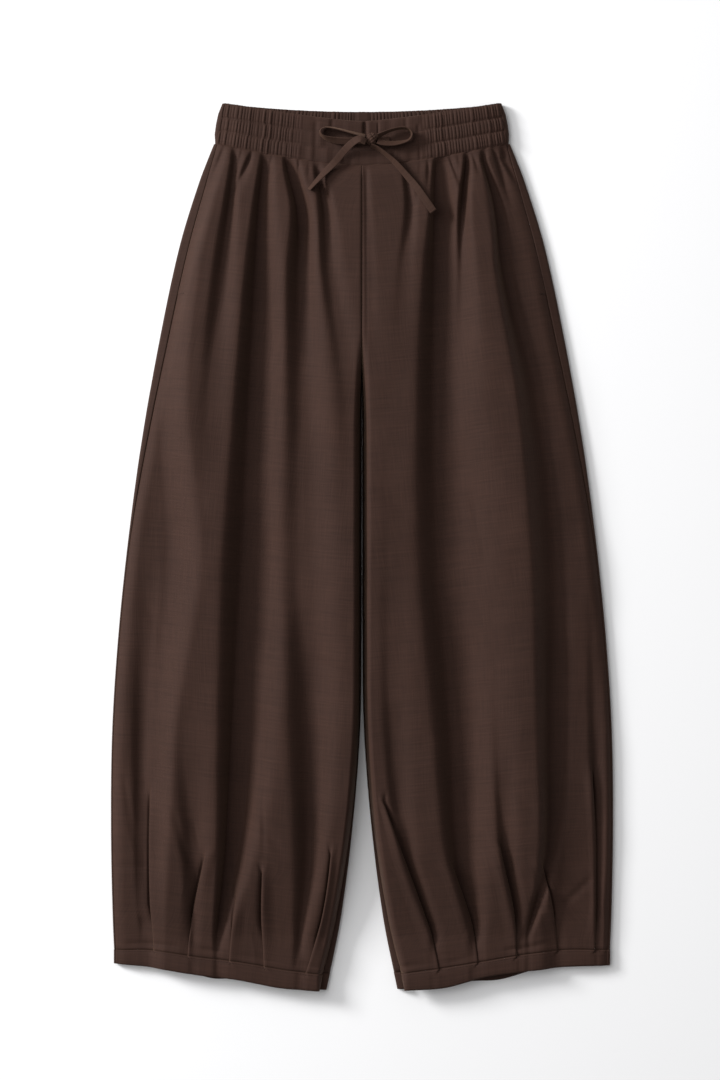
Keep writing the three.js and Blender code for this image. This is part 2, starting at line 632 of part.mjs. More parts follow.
function bandBack() {
  const seamIn = LEG_OUTLINE[0].sideSeamIn - SEAM_GAP / 2;
  const turned = curl(seamIn, 1);
  const reach = Math.max(...turned.map((p) => p[0]));
  // The band's columns: flat is -1 to 1 across the flat, and turned counts the points round the folded sides.
  const section = (count) => {
    const points = [];
    for (let j = CURL_POINTS; j >= 1; j -= 1) points.push({ flat: -1, side: -1, turned: j, mark: -1 - j });
    for (let k = 0; k <= count; k += 1) {
      const flat = (2 * k) / count - 1;
      points.push({ flat, side: 0, turned: 0, k, mark: flat });
    }
    for (let j = 1; j <= CURL_POINTS; j += 1) points.push({ flat: 1, side: 1, turned: j, mark: 1 + j });
    return points;
  };
  const place = (p, v) => {
    const flatHalf = bandHalf(v) - BAND_CLOTH / 2 - reach;
    const [out, up] = turned[p.turned];
    const x = p.flat * flatHalf + p.side * out;
    const t = Math.min(1, Math.abs(x) / flatHalf);
    const y = mix(backBandTopY(p.side ? 1 : t), backWaistY(p.side ? 1 : t) + SEAM_GAP, v);
    return new THREE.Vector3(x, y, BAND_CLOTH / 2 + up);
  };
  const wallOf = (points, levels) => {
    const grid = levels.map((v) => points.map((p) => place(p, v)));
    const normals = gridNormals(grid);
    normals.forEach((row) => {
      row[0].set(0, 0, -1);
      row[row.length - 1].set(0, 0, -1);
    });
    return { grid, normals };
  };
  const rows = [0, 1, 2, 4, 6];
  const levels = rows.map((i) => BAND_ROWS[i]);
  const fine = section(2 * BACK_GATHERS);
  const inner = wallOf(fine, levels);
  const upper = inner.grid.map((row, i) =>
    row.map((p, j) => {
      const { side, k, flat } = fine[j];
      const ungathered = side || Math.abs(p.x) < BACK_FLAT_HALF || Math.abs(flat) === 1;
      const rib = ungathered ? 0 : BAND_RIB[rows[i]] * (k % 2 ? 0.3 : -1.1);
      const puff = side ? 0 : BAND_PUFF[rows[i]] * 0.4;
      return p.clone().addScaledVector(inner.normals[i][j], BAND_CLOTH / 2 + rib + puff);
    }),
  );
  const plain = section(10);
  const coarse = wallOf(plain, [0, 1]);
  const lower = coarse.grid.map((row, i) =>
    row.map((p, j) => p.clone().addScaledVector(coarse.normals[i][j], -BAND_CLOTH / 2)),
  );
  const across = [fine.map((p) => p.mark), plain.map((p) => p.mark)];
  return solidBetween(upper, lower, { across, down: [levels, [0, 1]] });
}

for (const leg of ['left', 'right']) {
  addPiece(`front_${leg}`, frontPanel(leg), fabric);
  addPiece(`hem_front_${leg}`, frontHem(leg), fabric);
  addPiece(`back_${leg}`, backWall(leg, backPanel(leg), CLOTH), insideFabric);
  addPiece(`hem_back_${leg}`, backWall(leg, backHem(leg), HEM_CLOTH), insideFabric);
}
addPiece('waistband_front', bandFront(), fabric);
addPiece('waistband_back', bandBack(), insideFabric);

// The drawstring: a flat tape of cloth, tied in a bow over the band. It leaves the band by two buttonholes under the
// bow. In each run: x, y, clear height over what lies beneath, and tilt from lying flat (0) to standing on edge (90).
const TAPE_WIDE = 8;
const TAPE_THICK = 1.1;
const TAPE_STEP = 3.2; // between its sections
const TAPE_CLEAR = 0.4; // over the cloth it lies on
const KNOT = { x: 10.3, y: 447.6, wide: 11.5, long: 12.5, high: 8.5, clear: 0.5 };
const TAPE_RUNS = {
  lead_left: [
    { x: -12, y: 446.5, clear: 0, tilt: 0 },
    { x: -5, y: 447, clear: 0, tilt: 0 },
    { x: 3.9, y: 447.6, clear: 0.3, tilt: 0 },
  ],
  lead_right: [
    { x: 30, y: 446.5, clear: 0, tilt: 0 },
    { x: 24, y: 447, clear: 0, tilt: 0 },
    { x: 16.7, y: 447.6, clear: 0.3, tilt: 0 },
  ],
  loop_left: [
    { x: 3.6, y: 450.6, clear: 2, tilt: 55 },
    { x: -8, y: 453.6, clear: 2, tilt: 65 },
    { x: -24, y: 458, clear: 1, tilt: 72 },
    { x: -36, y: 460.4, clear: 0.4, tilt: 76 },
    { x: -43.4, y: 459.6, clear: 0.3, tilt: 80 },
    { x: -46, y: 454.8, clear: 0.3, tilt: 80 },
    { x: -41, y: 449.4, clear: 0.3, tilt: 70 },
    { x: -28, y: 446, clear: 0.6, tilt: 40 },
    { x: -12, y: 445.2, clear: 1.8, tilt: 30 },
    { x: 3.6, y: 446.4, clear: 2, tilt: 20 },
  ],
  loop_right: [
    { x: 17, y: 450.4, clear: 2, tilt: 60 },
    { x: 29, y: 456, clear: 2, tilt: 76 },
    { x: 42, y: 459.4, clear: 1, tilt: 80 },
    { x: 50.6, y: 458.4, clear: 0.4, tilt: 80 },
    { x: 54.6, y: 453, clear: 0.3, tilt: 80 },
    { x: 50.4, y: 446.4, clear: 0.3, tilt: 70 },
    { x: 37, y: 443, clear: 1.2, tilt: 48 },
    { x: 25, y: 443, clear: 2.2, tilt: 42 },
    { x: 17, y: 445.4, clear: 2, tilt: 35 },
  ],
  end_left: [
    { x: 4, y: 443.4, clear: 8.4, tilt: 30 },
    { x: -2.5, y: 446.6, clear: 10, tilt: 20 },
    { x: -10.7, y: 442.6, clear: 8.4, tilt: 10 },
    { x: -19.9, y: 434.3, clear: 3, tilt: 0 },
    { x: -29.2, y: 423, clear: 0.6, tilt: 10 },
    { x: -44.6, y: 406.6, clear: 0, tilt: 40 },
    { x: -58, y: 391.4, clear: 0, tilt: 62 },
  ],
  end_right: [
    { x: 9.4, y: 440, clear: 1.2, tilt: 60 },
    { x: 17, y: 437.4, clear: 0.8, tilt: 68 },
    { x: 27.3, y: 430.2, clear: 0.3, tilt: 64 },
    { x: 36.5, y: 421.6, clear: 0.3, tilt: 54 },
    { x: 47.9, y: 408.6, clear: 0, tilt: 38 },
    { x: 61.2, y: 392.2, clear: 0, tilt: 16 },
    { x: 78.4, y: 367.2, clear: 0, tilt: 0 },
  ],
};

trousers.updateMatrixWorld(true);
const ray = new THREE.Raycaster();
const beneath = ['front_left', 'front_right', 'waistband_front'].map((name) => trousers.getObjectByName(name));

// The top of the cloth at x and y.
function clothTop(x, y) {
  ray.set(new THREE.Vector3(x, y, 100), new THREE.Vector3(0, 0, -1));
  const hits = ray.intersectObjects(beneath);
  return hits.length ? hits[0].point.z : LOWEST_FRONT;
}

// The highest cloth beneath the tape's section at p, whose flat side runs along across.
function highestUnder(p, across, half) {
  const shares = [-1, -0.5, 0, 0.5, 1];
  return Math.max(...shares.map((k) => clothTop(p.x + across.x * half * k, p.y + across.y * half * k)));
}

function tapeRun(run) {
  const path = new THREE.CatmullRomCurve3(run.map((p) => new THREE.Vector3(p.x, p.y, 0)));
  const steps = Math.max(4, Math.round(path.getLength() / TAPE_STEP));
  const alongs = run.map((p, i) => i / (run.length - 1));
  const sections = [];
  for (let i = 0; i <= steps; i += 1) {
    const u = path.getUtoTmapping(i / steps);
    const tangent = path.getTangent(u).setZ(0).normalize();
    const tilt = THREE.MathUtils.degToRad(
      curveAt(
        alongs,
        run.map((p) => p.tilt),
        u,
      ),
    );
    const across = new THREE.Vector3(-tangent.y, tangent.x, 0);
    const p = path.getPoint(u);
    const half = (TAPE_WIDE / 2) * Math.cos(tilt) + (TAPE_THICK / 2) * Math.sin(tilt);
    const clear = curveAt(
      alongs,
      run.map((q) => q.clear),
      u,
    );
    const rise = (TAPE_WIDE / 2) * Math.sin(tilt) + (TAPE_THICK / 2) * Math.cos(tilt);
    sections.push({ p, tangent, across, tilt, base: highestUnder(p, across, half + 0.3) + rise, clear });
  }
  const near = (values, i, reach) => values.slice(Math.max(0, i - reach), i + reach + 1);
  const raised = sections.map((q, i) => Math.max(...near(sections, i, 2).map((n) => n.base)));
  sections.forEach((q, i) => {
    const close = near(raised, i, 1);
    q.p.z = close.reduce((a, b) => a + b, 0) / close.length + TAPE_CLEAR + Math.max(0, q.clear);
  });
  const positions = [];
  const index = [];
  sections.forEach((q, i) => {
    const before = sections[Math.max(i - 1, 0)].p;
    const after = sections[Math.min(i + 1, steps)].p;
    const forward = new THREE.Vector3().subVectors(after, before).normalize();
    const wide = q.across.clone().multiplyScalar(Math.cos(q.tilt)).addScaledVector(UP, Math.sin(q.tilt));
    const thick = new THREE.Vector3().crossVectors(forward, wide).normalize();
    wide.crossVectors(thick, forward).multiplyScalar(TAPE_WIDE / 2);
    thick.multiplyScalar(TAPE_THICK / 2);
    for (const [a, b] of [
      [1, 1],
      [-1, 1],
      [-1, -1],
      [1, -1],
    ]) {
      const corner = q.p.clone().addScaledVector(wide, a).addScaledVector(thick, b);
      positions.push(corner.x, corner.y, corner.z);
    }
    if (i === 0) return;
    const at = 4 * i;
    for (let k = 0; k < 4; k += 1) {
      const next = (k + 1) % 4;
      index.push(at - 4 + k, at - 4 + next, at + next, at - 4 + k, at + next, at + k);
    }
  });
  const end = 4 * steps;
  index.push(0, 2, 1, 0, 3, 2, end, end + 1, end + 2, end, end + 2, end + 3);
  const geometry = new THREE.BufferGeometry();
  geometry.setAttribute('position', new THREE.Float32BufferAttribute(positions, 3));
  geometry.setIndex(index);
  geometry.computeVertexNormals();
  return geometry;
}

for (const [name, run] of Object.entries(TAPE_RUNS)) addPiece(`drawstring_${name}`, tapeRun(run), tapeFabric);

const knot = new THREE.SphereGeometry(0.5, 12, 8);
knot.rotateX(Math.PI / 2);
knot.scale(KNOT.wide, KNOT.long, KNOT.high);
knot.translate(KNOT.x, KNOT.y, clothTop(KNOT.x, KNOT.y) + KNOT.clear + KNOT.high / 2);
addPiece('drawstring_knot', knot, tapeFabric);

export default trousers;
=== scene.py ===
"""Shalwar trousers laid flat with the front up: finished cloth, seams, gathers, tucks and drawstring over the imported
solids.

Sizes in the tables are in millimetres, in the part's frame: +X to the wearer's left leg, +Y to the waist, +Z up from
the table. Meshes are made in metres.
"""

import bpy
import numpy as np
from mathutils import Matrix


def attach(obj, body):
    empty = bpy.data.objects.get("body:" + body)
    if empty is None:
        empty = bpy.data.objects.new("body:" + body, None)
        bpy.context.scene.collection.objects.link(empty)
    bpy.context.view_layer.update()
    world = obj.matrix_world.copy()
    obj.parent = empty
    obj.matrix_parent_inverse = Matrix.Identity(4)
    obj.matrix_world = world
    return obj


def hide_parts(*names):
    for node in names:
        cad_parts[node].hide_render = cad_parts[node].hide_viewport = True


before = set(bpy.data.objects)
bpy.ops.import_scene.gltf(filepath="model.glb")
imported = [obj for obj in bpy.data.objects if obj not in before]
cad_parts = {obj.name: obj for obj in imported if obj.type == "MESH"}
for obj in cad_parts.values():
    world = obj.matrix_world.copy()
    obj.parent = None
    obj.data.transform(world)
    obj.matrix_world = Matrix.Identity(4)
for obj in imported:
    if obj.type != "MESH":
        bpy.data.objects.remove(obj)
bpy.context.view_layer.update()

MM = 0.001
LEGS = {"left": 1, "right": -1}

# ---- sizes ----
CLOTH = 1.0  # single cloth, as in the solids
HEM_CLOTH = 1.6
BAND_CLOTH = 2.6
BAND_LEVEL = 12.5  # height of the middle of the front band
SEAM_SHOWS = 0.12  # the finished pieces meet this closely at a seam
WAIST_TOP_HALF = 156.0
WAIST_SEAM_HALF = 163.5
BAND_SEAM_IN = 4.0  # how far the band's side seams lie in from its sides
FOLD_RADIUS = 3.2  # of the cloth turned up at a side
FOLD_LEAN = np.radians(13)  # how steeply a wide turning rises to its seam
LOWEST_FRONT = 6.8

# Leg from the waist down: y, inner edge, outer edge, inseam in from the inner edge, side seam in from the outer edge.
LEG_OUTLINE = np.array([
    (-489, 39.5, 271.0, 8.0, 1.5),
    (-410, 23.5, 275.0, 5.0, 1.5),
    (-305, 10.0, 277.0, 2.0, 1.5),
    (-199, 2.0, 275.5, 1.5, 1.5),
    (-93, 0.5, 268.5, 1.5, 1.5),
    (12, 0.4, 257.5, 1.5, 2.0),
    (118, 0.3, 243.0, 1.5, 6.0),
    (223, 0.2, 224.5, 1.5, 9.0),
    (329, 0.2, 202.0, 1.5, 10.0),
    (400, 0.2, 180.5, 1.5, 8.0),
    (444, 0.2, 163.5, 1.5, 4.0),
])
INNER, OUTER, INSEAM_IN, SIDE_SEAM_IN = 1, 2, 3, 4

# Levels down the leg at which the folds are measured, from just under the band to just over the hem.
LEVEL_Y = np.array([426, 371, 300, 162, -14, -190, -333, -427])
CROWN = [15.5, 23, 28.5, 33, 35, 34, 30, 18]  # height of the crests
LEDGE = [10.5, 10.5, 11, 12.5, 13.5, 13.5, 13, 10]  # height of the flatter strip along the side
FALL_WIDE = [3.6, 5.6, 9, 13, 17, 14, 8.5, 3.4]  # usual width of a fold's steeper side
# Where each leg's dome steps down to the strip along the side, and half the step's width.
STEP = {
    "left": {"x": [140, 147, 160, 184, 201, 205, 207, 206], "wide": [12, 12, 14, 17, 18, 16, 14, 12]},
    "right": {"x": [158, 174, 192, 206, 195, 216, 222, 226], "wide": [10, 12, 15, 18, 22, 17, 13, 11]},
}
# The long folds, right and left being the wearer's legs. x is the line where each falls most steeply to its right, and
# deep its depth, at the levels. fall and rise are the widths of its two sides, in shares of FALL_WIDE.
LONG_FOLDS = {
    "right side short": {
        "x": [-142, -149, -158, -171, -180, -189, -189, -189],
        "deep": [3, 6.5, 8, 2.5, 0, 0, 0, 0], "fall": 0.9, "rise": 1.3,
    },
    "right outer": {
        "x": [-110, -116, -121, -129, -138, -145, -151, -161],
        "deep": [4, 11, 18, 21, 25, 28, 26, 11], "fall": 0.9, "rise": 2.3,
    },
    "right inner": {
        "x": [-84, -72, -74, -74, -76, -68, -65, -71],
        "deep": [5.5, 17, 15, 11, 12, 14, 14, 6], "fall": 1.2, "rise": 1.6,
    },
    "right bow": {
        "x": [-53, -44, -40, -21, -19, -19, -19, -19],
        "deep": [1.5, 7, 5.5, 2.5, 0, 0, 0, 0], "fall": 0.9, "rise": 1.4,
    },
    "right calf": {
        "x": [-240, -240, -240, -240, -240, -247, -246, -243],
        "deep": [0, 0, 0, 0, 1, 5, 5, 2], "fall": 0.7, "rise": 0.6,
    },
    "right shin": {
        "x": [-199, -199, -199, -199, -199, -199, -191, -188],
        "deep": [0, 0, 0, 0, 0, 2, 7, 6], "fall": 1.0, "rise": 1.6,
    },
    "centre": {
        "x": [2, 2.5, 2.5, 2.5, 2, 2, 2, 2],
        "deep": [1, 1.5, 1.5, 0, 0, 0, 0, 0], "fall": 0.7, "rise": 0.9,
    },
    "left bow": {
        "x": [44, 50, 42, 36, 36, 36, 36, 36],
        "deep": [1.0, 4, 1.5, 0, 0, 0, 0, 0], "fall": 0.8, "rise": 1.0,
    },
    "left inner": {
        "x": [81, 80, 76, 73, 77, 91, 100, 120],
        "deep": [7, 19.5, 20, 19, 18.5, 19.5, 18, 7], "fall": 1.15, "rise": 2.9,
    },
    "left hip": {
        "x": [114, 108, 108, 108, 108, 108, 108, 108],
        "deep": [4, 9.5, 5.5, 0, 0, 0, 0, 0], "fall": 0.7, "rise": 1.1,
    },
    "left outer": {
        "x": [132, 147, 153, 179, 196, 202, 201, 181],
        "deep": [4, 13.5, 15.5, 7, 8, 13, 13, 5], "fall": 0.9, "rise": 0.95,
    },
    "left side short": {
        "x": [154, 187, 201, 221, 234, 234, 234, 234],
        "deep": [2.5, 2.5, 1.5, 0.5, 0, 0, 0, 0], "fall": 0.8, "rise": 1.2,
    },
    "left side": {
        "x": [250, 250, 250, 250, 251, 253, 257, 257],
        "deep": [0, 0, 0, 0, 0.5, 4, 7, 5], "fall": 0.5, "rise": 0.8,
    },
    "left shin": {
        "x": [26, 26, 26, 26, 26, 28, 44, 76],
        "deep": [0, 0, 0, 0, 1, 3.5, 5, 2.5], "fall": 0.6, "rise": 1.2,
    },
    "left middle": {
        "x": [141, 141, 141, 141, 141, 146, 154, 171],
        "deep": [0, 0, 0, 0, 0, 2, 6, 3], "fall": 0.6, "rise": 1.2,
    },
}

# The tucks: x of the fold's edge at four heights over the hem, how far up it reaches and how it opens.
TUCK_Y = np.array([-267, -333, -394, -443, -480])
TUCKS = {
    "left": [
        {"x": [22, 44, 65, 81.5, 88], "top": -252, "opens": "wide"},
        {"x": [84, 93, 112, 125.5, 128], "top": -330, "opens": "wide"},
        {"x": [141, 148.5, 161.5, 169, 170], "top": -312, "opens": "wide"},
        {"x": [183, 190.5, 205, 214, 216], "top": -342, "opens": "slit"},
        {"x": [252.5, 256.5, 257, 257, 257], "top": -240, "opens": "slit"},
    ],
    "right": [
        {"x": [31, 34, 43, 57, 70], "top": -306, "opens": "slit"},
        {"x": [113, 108, 109, 108, 107], "top": -335, "opens": "slit"},
        {"x": [128, 131, 138, 144.5, 147], "top": -368, "opens": "slit"},
        {"x": [162, 169, 181.5, 190, 192], "top": -326, "opens": "slit"},
        {"x": [231, 232.5, 232, 229.5, 229], "top": -262, "opens": "slit"},
    ],
}
# A tuck's section outwards from its fold edge, as (across, up): over the hem, where it opens wide or as a slit, and
# pressed shut at the hem.
TUCK_ROOM = 32.0  # a tuck with less room beside it is narrower
TUCK_OPEN = {
    "wide": [
        (-12, 0), (-6, 1.6), (-2, 3.2), (1.0, 3.6), (2.4, 2.8), (2.7, 1.5), (1.6, 0.2), (0.4, -2.4), (0.8, -5.0),
        (3.2, -6.4), (6.8, -5.2), (10.5, -2.8), (14, -0.8), (19, 0),
    ],
    "slit": [
        (-12, 0), (-7, 1.2), (-3.5, 2.4), (-1, 3.0), (0.6, 2.8), (1.2, 1.8), (0.6, 0.4), (0.2, -2.0), (0.8, -4.4),
        (2.4, -4.8), (3.6, -3.0), (5.2, -1.0), (9, -0.1), (16, 0),
    ],
}
TUCK_SHUT = np.array([
    (-12, 0), (-8, 0.15), (-5, 0.4), (-2.6, 0.7), (-0.9, 0.75), (0, 0.35), (-0.7, -0.1), (-2.4, -0.1), (-4.2, -0.2),
    (-5.0, -0.6), (-4.2, -1.0), (-1.4, -0.9), (2.4, -0.7), (8, -0.3),
])

# Short gathers that run down from the waist seam: place from centre (0) to side seam (1), shift, width, depth, reach.
WAIST_GATHERS = {
    "right": [
        (0.95, 0.02, 4.0, 2.5, 0.06), (0.83, -0.01, 2.4, 2.0, 0.04), (0.76, 0.05, 3.0, 3.2, 0.06),
        (0.62, 0.0, 2.4, 1.8, 0.04), (0.54, -0.12, 3.0, 3.0, 0.06), (0.44, -0.05, 2.6, 2.4, 0.06),
        (0.37, -0.02, 2.2, 1.1, 0.03), (0.30, 0.0, 2.0, 0.8, 0.02),
    ],
    "left": [
        (0.40, -0.02, 2.2, 1.1, 0.025), (0.455, -0.03, 2.6, 2.2, 0.045), (0.53, -0.04, 2.6, 2.0, 0.04),
        (0.60, 0.05, 3.0, 2.8, 0.05), (0.66, -0.01, 2.4, 1.4, 0.03), (0.71, -0.04, 3.0, 2.4, 0.05),
        (0.755, 0.02, 2.4, 2.0, 0.035), (0.90, 0.03, 3.0, 2.8, 0.08), (0.96, 0.02, 3.0, 2.0, 0.05),
    ],
}
# Creases pressed in by folding and handling, as (x, y) of both ends, width and depth.
CREASES = np.array([
    (218, -397, 254, -363, 4.0, 1.6), (189, -385, 178, -433, 5.0, 1.6), (-73, -433, -73, -464, 2.2, 1.2),
    (-275, -351, -234, -351, 2.5, 0.5), (79, -448, 124, -448, 2.5, 0.5), (-60, -120, 10, -150, 6.0, 0.8),
    (20, 60, 70, 20, 7.0, 0.8), (-240, -60, -205, -120, 7.0, 0.9), (150, -250, 190, -290, 5.0, 0.8),
    (-110, -300, -85, -340, 5.0, 0.9), (30, -180, 80, -215, 6.0, 0.9), (-200, 90, -170, 40, 7.0, 0.8),
    (-108, -190, -108, -335, 3.0, 1.3), (-206, -288, -192, -340, 3.5, 1.3), (-198, -322, -180, -372, 3.0, 1.3),
    (-186, -300, -178, -330, 2.5, 0.9),
    (-262, -250, -250, -330, 4.0, 1.0), (-60, 395, -52, 330, 3.5, 1.2), (62, 400, 58, 372, 2.6, 1.2),
    (-100, 250, -92, 190, 5.0, 0.8), (120, 60, 135, -20, 6.0, 0.9), (215, -60, 222, -150, 6.0, 0.9),
])
# Hem's lower edge and the stitched line over it, from inseam to side seam in fifths, and the back hem's drop below
# the front's as (depth, place, width).
HEM_EDGE = {"left": [-487.3, -484, -472, -466, -462, -461], "right": [-488, -484, -475.5, -470, -463, -459]}
HEM_SEAM = {"left": [-469, -462.5, -455, -447.5, -443.5, -444], "right": [-470, -464, -456, -450.5, -444, -444]}
BACK_HEM_DROP = {"left": (8.5, 0.47, 0.15), "right": (4.5, 0.53, 0.1)}

# The pocket mouths: openings of the side seams, ending at a bar tack at this share of the way to the hem.
POCKET_Y = (408, 281)
TACK_S = 0.187
POCKET_GAP = 0.35
SEAM_SUNK = 1.0  # below the mouth the front panel lies this much lower at the side seam

# The cuts of what shows, flat: width, length and area.
FRONT_CUT = (340, 915, 265000)
BACK_CUT = (310, 920, 245000)
HEM_CUT = (245, 20, 4900)
FRONT_BAND_CUT = (413, 53, 20500)
BACK_BAND_CUT = (460, 50, 21500)

BUTTONHOLES = (-13.0, 30.5)
BUTTONHOLE_Y = 440.5
TOPSTITCH_X = 5.2  # beside the centre seam

# Waistband: three channels of elastic, gathered at both sides of the front and all across the back.
CHANNELS = 3
FLAT_FRONT_HALF = 72.0
FRONT_GATHERS = 25
BACK_GATHERS = 76
SCALLOP = 0.012  # how much further out each channel reaches at the sides, as a share
# Creases in the plain front of the band: place, from and to down its depth, width and depth.
BAND_CREASES = [
    (3.4, 0.0, 0.5, 2.3, 3.4), (17.5, 0.05, 0.36, 1.2, 1.1), (-33, 0.0, 0.3, 2.5, 0.8), (-50, 0.1, 1.0, 3.0, 0.9),
    (48, 0.0, 0.3, 2.4, 0.8), (61, 0.2, 1.0, 2.0, 0.9), (-19, 0.62, 1.0, 2.5, 0.8), (33, 0.7, 1.0, 2.2, 0.7),
]

# The drawstring, as in the solids. In each run: x, y, clear height over what lies beneath, and tilt from flat (0) to
# standing on edge (90).
TAPE_WIDE = 8.0
TAPE_THICK = 1.1
KNOT_X, KNOT_Y, KNOT_WIDE, KNOT_LONG, KNOT_HIGH = 10.3, 447.6, 12.5, 13.5, 9.0
TAPE_RUNS = {
    "lead_left": [(-12, 446.5, 0, 0), (-5, 447, 0, 0), (3.9, 447.6, 0.3, 0)],
    "lead_right": [(30, 446.5, 0, 0), (24, 447, 0, 0), (16.7, 447.6, 0.3, 0)],
    "loop_left": [
        (3.6, 450.6, 2, 55), (-8, 453.6, 2, 65), (-24, 458, 1, 72), (-36, 460.4, 0.4, 76), (-43.4, 459.6, 0.3, 80),
        (-46, 454.8, 0.3, 80), (-41, 449.4, 0.3, 70), (-28, 446, 0.6, 40), (-12, 445.2, 1.8, 30),
        (3.6, 446.4, 2, 20),
    ],
    "loop_right": [
        (17, 450.4, 2, 60), (29, 456, 2, 76), (42, 459.4, 1, 80), (50.6, 458.4, 0.4, 80), (54.6, 453, 0.3, 80),
        (50.4, 446.4, 0.3, 70), (37, 443, 1.2, 48), (25, 443, 2.2, 42), (17, 445.4, 2, 35),
    ],
    "end_left": [
        (4, 443.4, 8.4, 30), (-2.5, 446.6, 10, 20), (-10.7, 442.6, 8.4, 10), (-19.9, 434.3, 3, 0),
        (-29.2, 423, 0.6, 10), (-44.6, 406.6, 0, 40), (-58, 391.4, 0, 62),
    ],
    "end_right": [
        (9.4, 440, 1.2, 60), (17, 437.4, 0.8, 68), (27.3, 430.2, 0.3, 64), (36.5, 421.6, 0.3, 54), (47.9, 408.6, 0, 38),
        (61.2, 392.2, 0, 16), (78.4, 367.2, 0, 0),
    ],
}


def mix(a, b, k):
    return a + (b - a) * k


def ease(low, high, v):
    """0 up to low, 1 from high, and the cubic 3k^2 - 2k^3 of the share k between them."""
    k = np.clip((v - low) / (high - low), 0, 1)
    return k * k * (3 - 2 * k)


def curve(at, value, x):
    """The smooth curve through the points (at, value): in each span a cubic whose end slopes are those of the chords
    between the points on either side."""
    at, value = np.asarray(at, float), np.asarray(value, float)
    x = np.clip(x, at[0], at[-1])
    slope = np.gradient(value, at)
    slope[1:-1] = (value[2:] - value[:-2]) / (at[2:] - at[:-2])
    i = np.clip(np.searchsorted(at, x, side="right") - 1, 0, len(at) - 2)
    step = at[i + 1] - at[i]
    k = (x - at[i]) / step
    return (
        (2 * k**3 - 3 * k**2 + 1) * value[i]
        + (k**3 - 2 * k**2 + k) * step * slope[i]
        + (3 * k**2 - 2 * k**3) * value[i + 1]
        + (k**3 - k**2) * step * slope[i + 1]
    )


def level(values, y):
    """The value at height y of a table with one value for each of LEVEL_Y."""
    return curve(-LEVEL_Y, values, -y)


def outline(column, y):
    return curve(LEG_OUTLINE[:, 0], LEG_OUTLINE[:, column], y)


def front_waist_y(t):
    return 420 + 24 * np.clip(t, 0, 1) ** 1.5


def back_waist_y(t):
    return 434 + 10 * t**2


def front_band_top_y(q):
    return 467.5 + 20.5 * np.abs(q) ** 1.3


def back_band_top_y(q):
    return 479.5 + 8.5 * q**2


FIFTHS = np.linspace(0, 1, 6)


def hem_seam_y(leg, t):
    return curve(FIFTHS, HEM_SEAM[leg], t)


def hem_edge_y(leg, t):
    return curve(FIFTHS, HEM_EDGE[leg], t)


def back_hem_edge_y(leg, t):
    """The front hem's edge, lowered by a bell."""
    deep, place, wide = BACK_HEM_DROP[leg]
    return hem_edge_y(leg, t) - deep * np.exp(-(((t - place) / wide) ** 2))


def legs_part(s):
    """0 above the crotch and 1 where the legs are apart, s being the share of the way from waist to hem."""
    return ease(0.2, 0.33, s)


def turned_height(seam_in):
    """How high a folded edge has turned up where it reaches the seam: r (1 - cos a), a being the angle that brings
    the cloth back by seam_in."""
    r = FOLD_RADIUS
    angle = np.pi - np.arcsin(np.clip((r - seam_in) / r, 0, 1))
    return r * (1 - np.cos(angle))


def inner_lean(leg):
    """How much further out the inner edge lies at the hem's edge than at the hem's seam."""
    return outline(INNER, hem_edge_y(leg, 0)) - outline(INNER, hem_seam_y(leg, 0))


def edges(leg, s, past=0):
    """Inner and outer edge of the front panel and their heights, at share s of the way down and past of the way down
    the hem."""
    inner_y = mix(front_waist_y(0), hem_seam_y(leg, 0), s)
    outer_y = mix(front_waist_y(1), hem_seam_y(leg, 1), s)
    inseam_in, side_in = outline(INSEAM_IN, inner_y), outline(SIDE_SEAM_IN, outer_y)
    apart = outline(INNER, inner_y) + past * inner_lean(leg) + CLOTH / 2 + inseam_in
    inner = mix(SEAM_SHOWS / 2, apart, legs_part(s))
    mouth = POCKET_GAP * ease(POCKET_Y[0], POCKET_Y[0] - 12, outer_y) * ease(POCKET_Y[1], POCKET_Y[1] + 6, outer_y)
    outer = outline(OUTER, outer_y) - CLOTH / 2 - side_in - mouth
    sunk = SEAM_SUNK * ease(POCKET_Y[1] + 3, POCKET_Y[1] - 6, outer_y)
    return inner, outer, CLOTH / 2 + turned_height(inseam_in), CLOTH / 2 + turned_height(side_in) - sunk


def rumple(x, y):
    """Slight unevenness of the cloth: a few long low waves, high sin(a x + b y + phase), added up."""
    waves = [
        (0.071, 0.019, 0.3, 0.28), (0.043, -0.031, 1.7, 0.32), (0.118, 0.052, 4.1, 0.16),
        (0.027, 0.066, 2.6, 0.26), (0.161, -0.083, 0.9, 0.08), (0.012, 0.121, 5.2, 0.1),
    ]
    return sum(high * np.sin(a * x + b * y + phase) for a, b, phase, high in waves)


def creases(x, y):
    """Soft troughs along short lines: each is deep times a bell of the distance to its line, fading to its ends."""
    total = np.zeros_like(x)
    for x0, y0, x1, y1, wide, deep in CREASES:
        length = np.hypot(x1 - x0, y1 - y0)
        along = ((x - x0) * (x1 - x0) + (y - y0) * (y1 - y0)) / length**2
        off = ((x - x0) * (y1 - y0) - (y - y0) * (x1 - x0)) / length
        total -= deep * np.exp(-((off / wide) ** 2)) * ease(-0.15, 0.25, along) * ease(1.15, 0.75, along)
    return total


